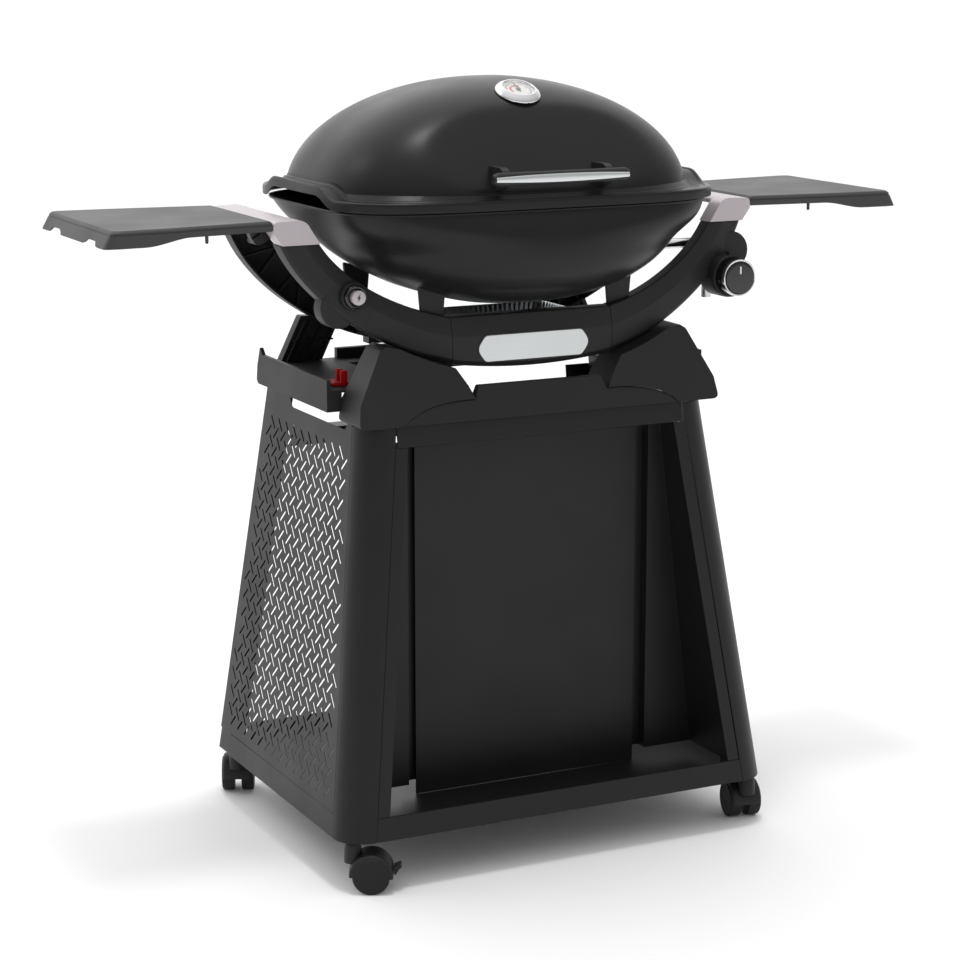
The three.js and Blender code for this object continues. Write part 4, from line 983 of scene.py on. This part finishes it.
GAUGE_Y = -97.0
GAUGE_SHARE = (GAUGE_Y - LID_Y) / LID_HALF_Y
GAUGE_Z = LID_BASE + LID_HEIGHT * math.sqrt(1 - GAUGE_SHARE ** 2)
GAUGE_TILT = math.atan(-GAUGE_SHARE * LID_HEIGHT / (LID_HALF_Y * math.sqrt(1 - GAUGE_SHARE ** 2)))


def on_gauge(part):
    c, s = math.cos(GAUGE_TILT), math.sin(GAUGE_TILT)
    return moved(part, lambda x, y, z: (x, GAUGE_Y + y * c - z * s, GAUGE_Z + y * s + z * c))


def arc_plate(inner, outer, start, end, z0, z1, count=24):
    angles = [math.radians(start + (end - start) * k / count) for k in range(count + 1)]
    outline = [(outer * math.sin(a), -outer * math.cos(a)) for a in angles]
    outline += [(inner * math.sin(a), -inner * math.cos(a)) for a in reversed(angles)]
    return plate_xy(outline, z0, z1)


def gauge():
    bezel = turned([(23.4, 4.0), (23.8, 8.4), (24.8, 10.0), (26.6, 10.2), (31.6, 6.8), (34.4, 3.4),
                    (35.0, 1.8), (34.9, 0.6), (23.4, 0.6)], wrap=True, count=72)
    piece("thermometer_bezel", on_gauge(bezel), "lid", "chrome", 0, ["thermometer_case"])
    dial = turned([(0, 5.0), (23.6, 5.0), (23.6, 5.8), (0, 5.8)], count=64)
    piece("thermometer_dial", on_gauge(dial), "lid", "dial_white", 0)
    ticks = [arc_plate(18.0 if k % 5 else 15.5, 21.0, a - 0.8, a + 0.8, 5.7, 6.0, 1)
             for k, a in ((k, 40 + 280 * k / 40) for k in range(41))]
    piece("thermometer_ticks", on_gauge(joined(*ticks)), "lid", "dial_black", 0)
    warm = joined(arc_plate(10.6, 14.0, 150, 215, 5.7, 6.0), arc_plate(10.6, 14.0, 222, 300, 5.7, 6.0))
    piece("thermometer_band", on_gauge(warm), "lid", "dial_red", 0)
    outline = [(-1.5, -7), (1.5, -7), (0.5, 18), (-0.5, 18)]
    hub = turned([(3.2, 6.2), (3.2, 8.0), (2.4, 8.7), (0, 8.7)], count=32)
    needle = joined(plate_xy(outline, 7.0, 7.6), hub)
    piece("thermometer_needle_look", on_gauge(needle), "needle", "dial_black", 0.1,
          ["thermometer_needle"])
    lens = turned([(24.4, 8.9), (23.8, 9.4), (18, 10.2), (10, 10.7), (0, 10.9), (0, 10.5), (10, 10.3),
                   (18, 9.8), (23.6, 8.9)], count=64, wrap=True)
    piece("thermometer_lens", on_gauge(lens), "lid", "lens", 0)


def control_knob():
    cx, cz = CONTROL_X, CONTROL_Z
    centre = (cx, 0, cz)
    depth, back = KNOB_FACE, BOSS_FACE - 4.6
    wide, inner = KNOB_R - 0.6, KNOB_R - 3.4
    grip = [(20, back), (wide - 0.8, back), (wide, back - 1), (wide, depth + 9), (inner + 0.8, depth + 7),
            (inner, depth + 3.5), (inner - 1, depth + 0.8), (20, depth + 0.1), (0, depth)]
    piece("control_knob_look", turned(grip, "y", centre, 72), "knob", "gloss_black", 0, ["control_knob"])
    ring = [(inner - 0.2, depth + 8), (inner - 0.1, depth + 3.4), (inner + 0.5, depth + 2.0),
            (KNOB_R - 1.5, depth + 1.5), (KNOB_R - 0.4, depth + 2.4), (KNOB_R, depth + 4.2),
            (KNOB_R, depth + 8.5), (KNOB_R - 0.8, depth + 9.6)]
    piece("knob_ring_look", turned(ring, "y", centre, 72, wrap=True), "knob", "chrome", 0, ["knob_ring"])
    mark = plate_xz(rounded([(-1.3, 6), (1.3, 6), (1.3, 18), (-1.3, 18)], 1.2), depth - 0.35, depth + 1)
    spot = moved(mark, lambda x, y, z: (x + cx, y, z + cz))
    piece("knob_mark", spot, "knob", "dial_white", 0.1)
    ribs = []
    for k in range(36):
        turn = 2 * math.pi * k / 36
        rib = block(-0.9, 0.9, depth + 11, BOSS_FACE - 6, wide - 1, wide + 0.5)
        c, s = math.cos(turn), math.sin(turn)
        ribs.append(moved(rib, lambda x, y, z, c=c, s=s: (cx + x * c + z * s, y, cz - x * s + z * c)))
    piece("knob_grip_ribs", joined(*ribs), "knob", "gloss_black", 0.3)


def igniter():
    seat = IGNITER_FACE - 0.3
    collar = [(12.4, seat + 3), (12.4, seat - 4.5), (13.2, seat - 6.2), (15.2, seat - 6.4),
              (17, seat - 5.2), (18, seat - 3), (18, seat + 1), (14, seat + 3)]
    place_at = (IGNITER_X, 0, IGNITER_Z)
    piece("igniter_collar_look", turned(collar, "y", place_at, 64, wrap=True), "cart", "gloss_black", 0,
          ["igniter_collar"])
    button = [(10.6, seat + 1), (11, seat - 12), (10.6, seat - 13.3), (9.4, seat - 13.9), (0, seat - 14)]
    piece("igniter_button_look", turned(button, "y", place_at, 64), "igniter", "silver_plastic", 0,
          ["igniter_button"])
    bolt = [(2.4, 6.5), (-3.4, -0.6), (-0.6, -0.6), (-2.6, -6.5), (3.4, 0.9), (0.6, 0.9)]
    icon = plate_xz([(x + IGNITER_X, z + IGNITER_Z) for x, z in bolt], seat - 14.15, seat - 13)
    piece("igniter_icon", icon, "igniter", "dial_black", 0)


# ---------- casters ----------
def caster_parts():
    """The hood with its web and stem, and the wheel pair, with the stem on the Z axis."""
    rings = []
    for i in range(33):
        turn = -0.15 + (math.pi * 1.02 + 0.15) * i / 32
        section = []
        for half, fall in ((24, 6), (23.6, 2.6), (22, 0.8), (18, 0.1), (0, 0), (-18, 0.1), (-22, 0.8),
                           (-23.6, 2.6), (-24, 6)):
            section.append((half, HOOD_R - fall))
        section += [(-22, HOOD_R - 6), (-21, HOOD_R - 3.4), (0, HOOD_R - 3), (21, HOOD_R - 3.4),
                    (22, HOOD_R - 6)]
        rings.append([(x, CASTER_TRAIL + r * math.cos(turn), AXLE_Z + r * math.sin(turn))
                      for x, r in section])
    fender = loft(rings)
    web_edge = [(CASTER_TRAIL + (HOOD_R - 1) * math.cos(a), AXLE_Z + (HOOD_R - 1) * math.sin(a))
                for a in (-0.15 + (math.pi * 1.02 + 0.15) * k / 24 for k in range(25))]
    web_edge += [(CASTER_TRAIL + 9 * math.cos(a), AXLE_Z + 9 * math.sin(a))
                 for a in (math.pi * (1.02 + 0.93 * k / 10) for k in range(11))]
    web = plate_yz(web_edge, -5, 5)
    top = BASE_Z - 3
    neck = turned([(13.5, 62), (13, top - 12), (11.8, top - 3), (10.5, top), (0, top)], count=32)
    stem = turned([(5.5, top - 2), (5.5, BASE_Z + 12), (0, BASE_Z + 12)], count=24)
    hood = joined(fender, web, neck, stem)
    wheels = []
    for side in (1, -1):
        profile = [(4, side * 6), (27.2, side * 6), (28, side * 6.8), (28, side * 23), (27, side * 25),
                   (25.5, side * 26), (24.5, side * 25.6), (22, side * 25.2), (0, side * 25.4)]
        wheels.append(turned(profile, "x", (0, CASTER_TRAIL, AXLE_Z), 56))
    axle = turned([(4, -6), (4, 6)], "x", (0, CASTER_TRAIL, AXLE_Z), 24)
    return hood, joined(*wheels, axle)


CASTERS = {
    "front_left": (-CASTER_X, -CASTER_Y, -116), "front_right": (CASTER_X, -CASTER_Y, -12),
    "rear_left": (-CASTER_X, CASTER_Y, -24), "rear_right": (CASTER_X, CASTER_Y, -30),
}


def add_casters():
    hood, wheels = caster_parts()
    for name, (cx, cy, degrees) in CASTERS.items():
        turn = math.radians(degrees)
        c, s = math.cos(turn), math.sin(turn)

        def placed(part):
            return moved(part, lambda x, y, z: (cx + x * c - y * s, cy + x * s + y * c, z))

        piece(f"caster_hood_{name}_look", placed(hood), f"caster_{name}", "black_plastic", 0.5,
              [f"caster_hood_{name}"])
        piece(f"caster_wheels_{name}_look", placed(wheels), f"wheels_{name}", "wheel_plastic", 0.3,
              [f"caster_wheels_{name}"])


# ---------- grease pan ----------
def pleated_pan():
    """A pressed foil pan with pleated walls and a rolled rim."""
    corners = rounded([(-110, -72), (110, -72), (110, 72), (-110, 72)], 24, 10)
    dense = []
    for i, (x, y) in enumerate(corners):
        nx, ny = corners[(i + 1) % len(corners)]
        count = max(1, round(math.hypot(nx - x, ny - y) / 2.2))
        dense += [(x + (nx - x) * k / count, y + (ny - y) * k / count) for k in range(count)]

    def ring(inset, z, ripple):
        result = []
        for k, (x, y) in enumerate(dense):
            wave = inset + ripple * (1 if k % 4 < 2 else -1)
            result.append((x * (1 - wave / 110), PAN_Y + y * (1 - wave / 72), z))
        return result

    sections = [(13, 0, 0), (12, 1.5, 0.5), (3.4, 22, 0.9), (1.4, 24.5, 0.2), (0.4, 25.2, 0), (0.6, 26, 0),
                (2.2, 25.6, 0), (4, 22.6, 0.9), (12.6, 2.2, 0.5), (14, 1, 0)]
    return loft([ring(inset, PAN_Z + rise, ripple) for inset, rise, ripple in sections])


# ---------- CAD nodes that stay ----------
BEVELS = {"corner_cover": 3.0, "fascia": 2.0, "top_rail": 1.6, "table_bracket": 3.0, "leg_front": 0.8,
          "front_panel": 0.6, "panel_wing": 0.8, "bottom_shelf": 1.0, "handle_bracket": 1.4,
          "cooking_grate": 0.8, "rear_beam": 1.5}


def finish_cad_nodes():
    finish_of = {part["node"]: part["material_slot"] for part in RECORD["subparts"]}
    for name, obj in frame["nodes"].items():
        if obj.hide_render:
            continue
        finish = FINISHES[finish_of[name]]
        if not obj.data.materials:
            obj.data.materials.append(finish)
        for slot in obj.material_slots:
            slot.material = finish
        width = next((w for start, w in BEVELS.items() if name.startswith(start)), 0.5)
        soften(obj, width, weld=True)


set_stage()
add_lid_and_bowl()
add_cradle()
for side_name in ("left", "right"):
    side_panel(side_name)
pair("side_table", side_table(), "table_{side}", "table_plastic", 0, ["side_table"])
handle()
gauge()
control_knob()
igniter()
add_casters()
piece("grease_pan_look", pleated_pan(), "grease_tray", "pan_metal", 0, ["grease_pan"])
finish_cad_nodes()
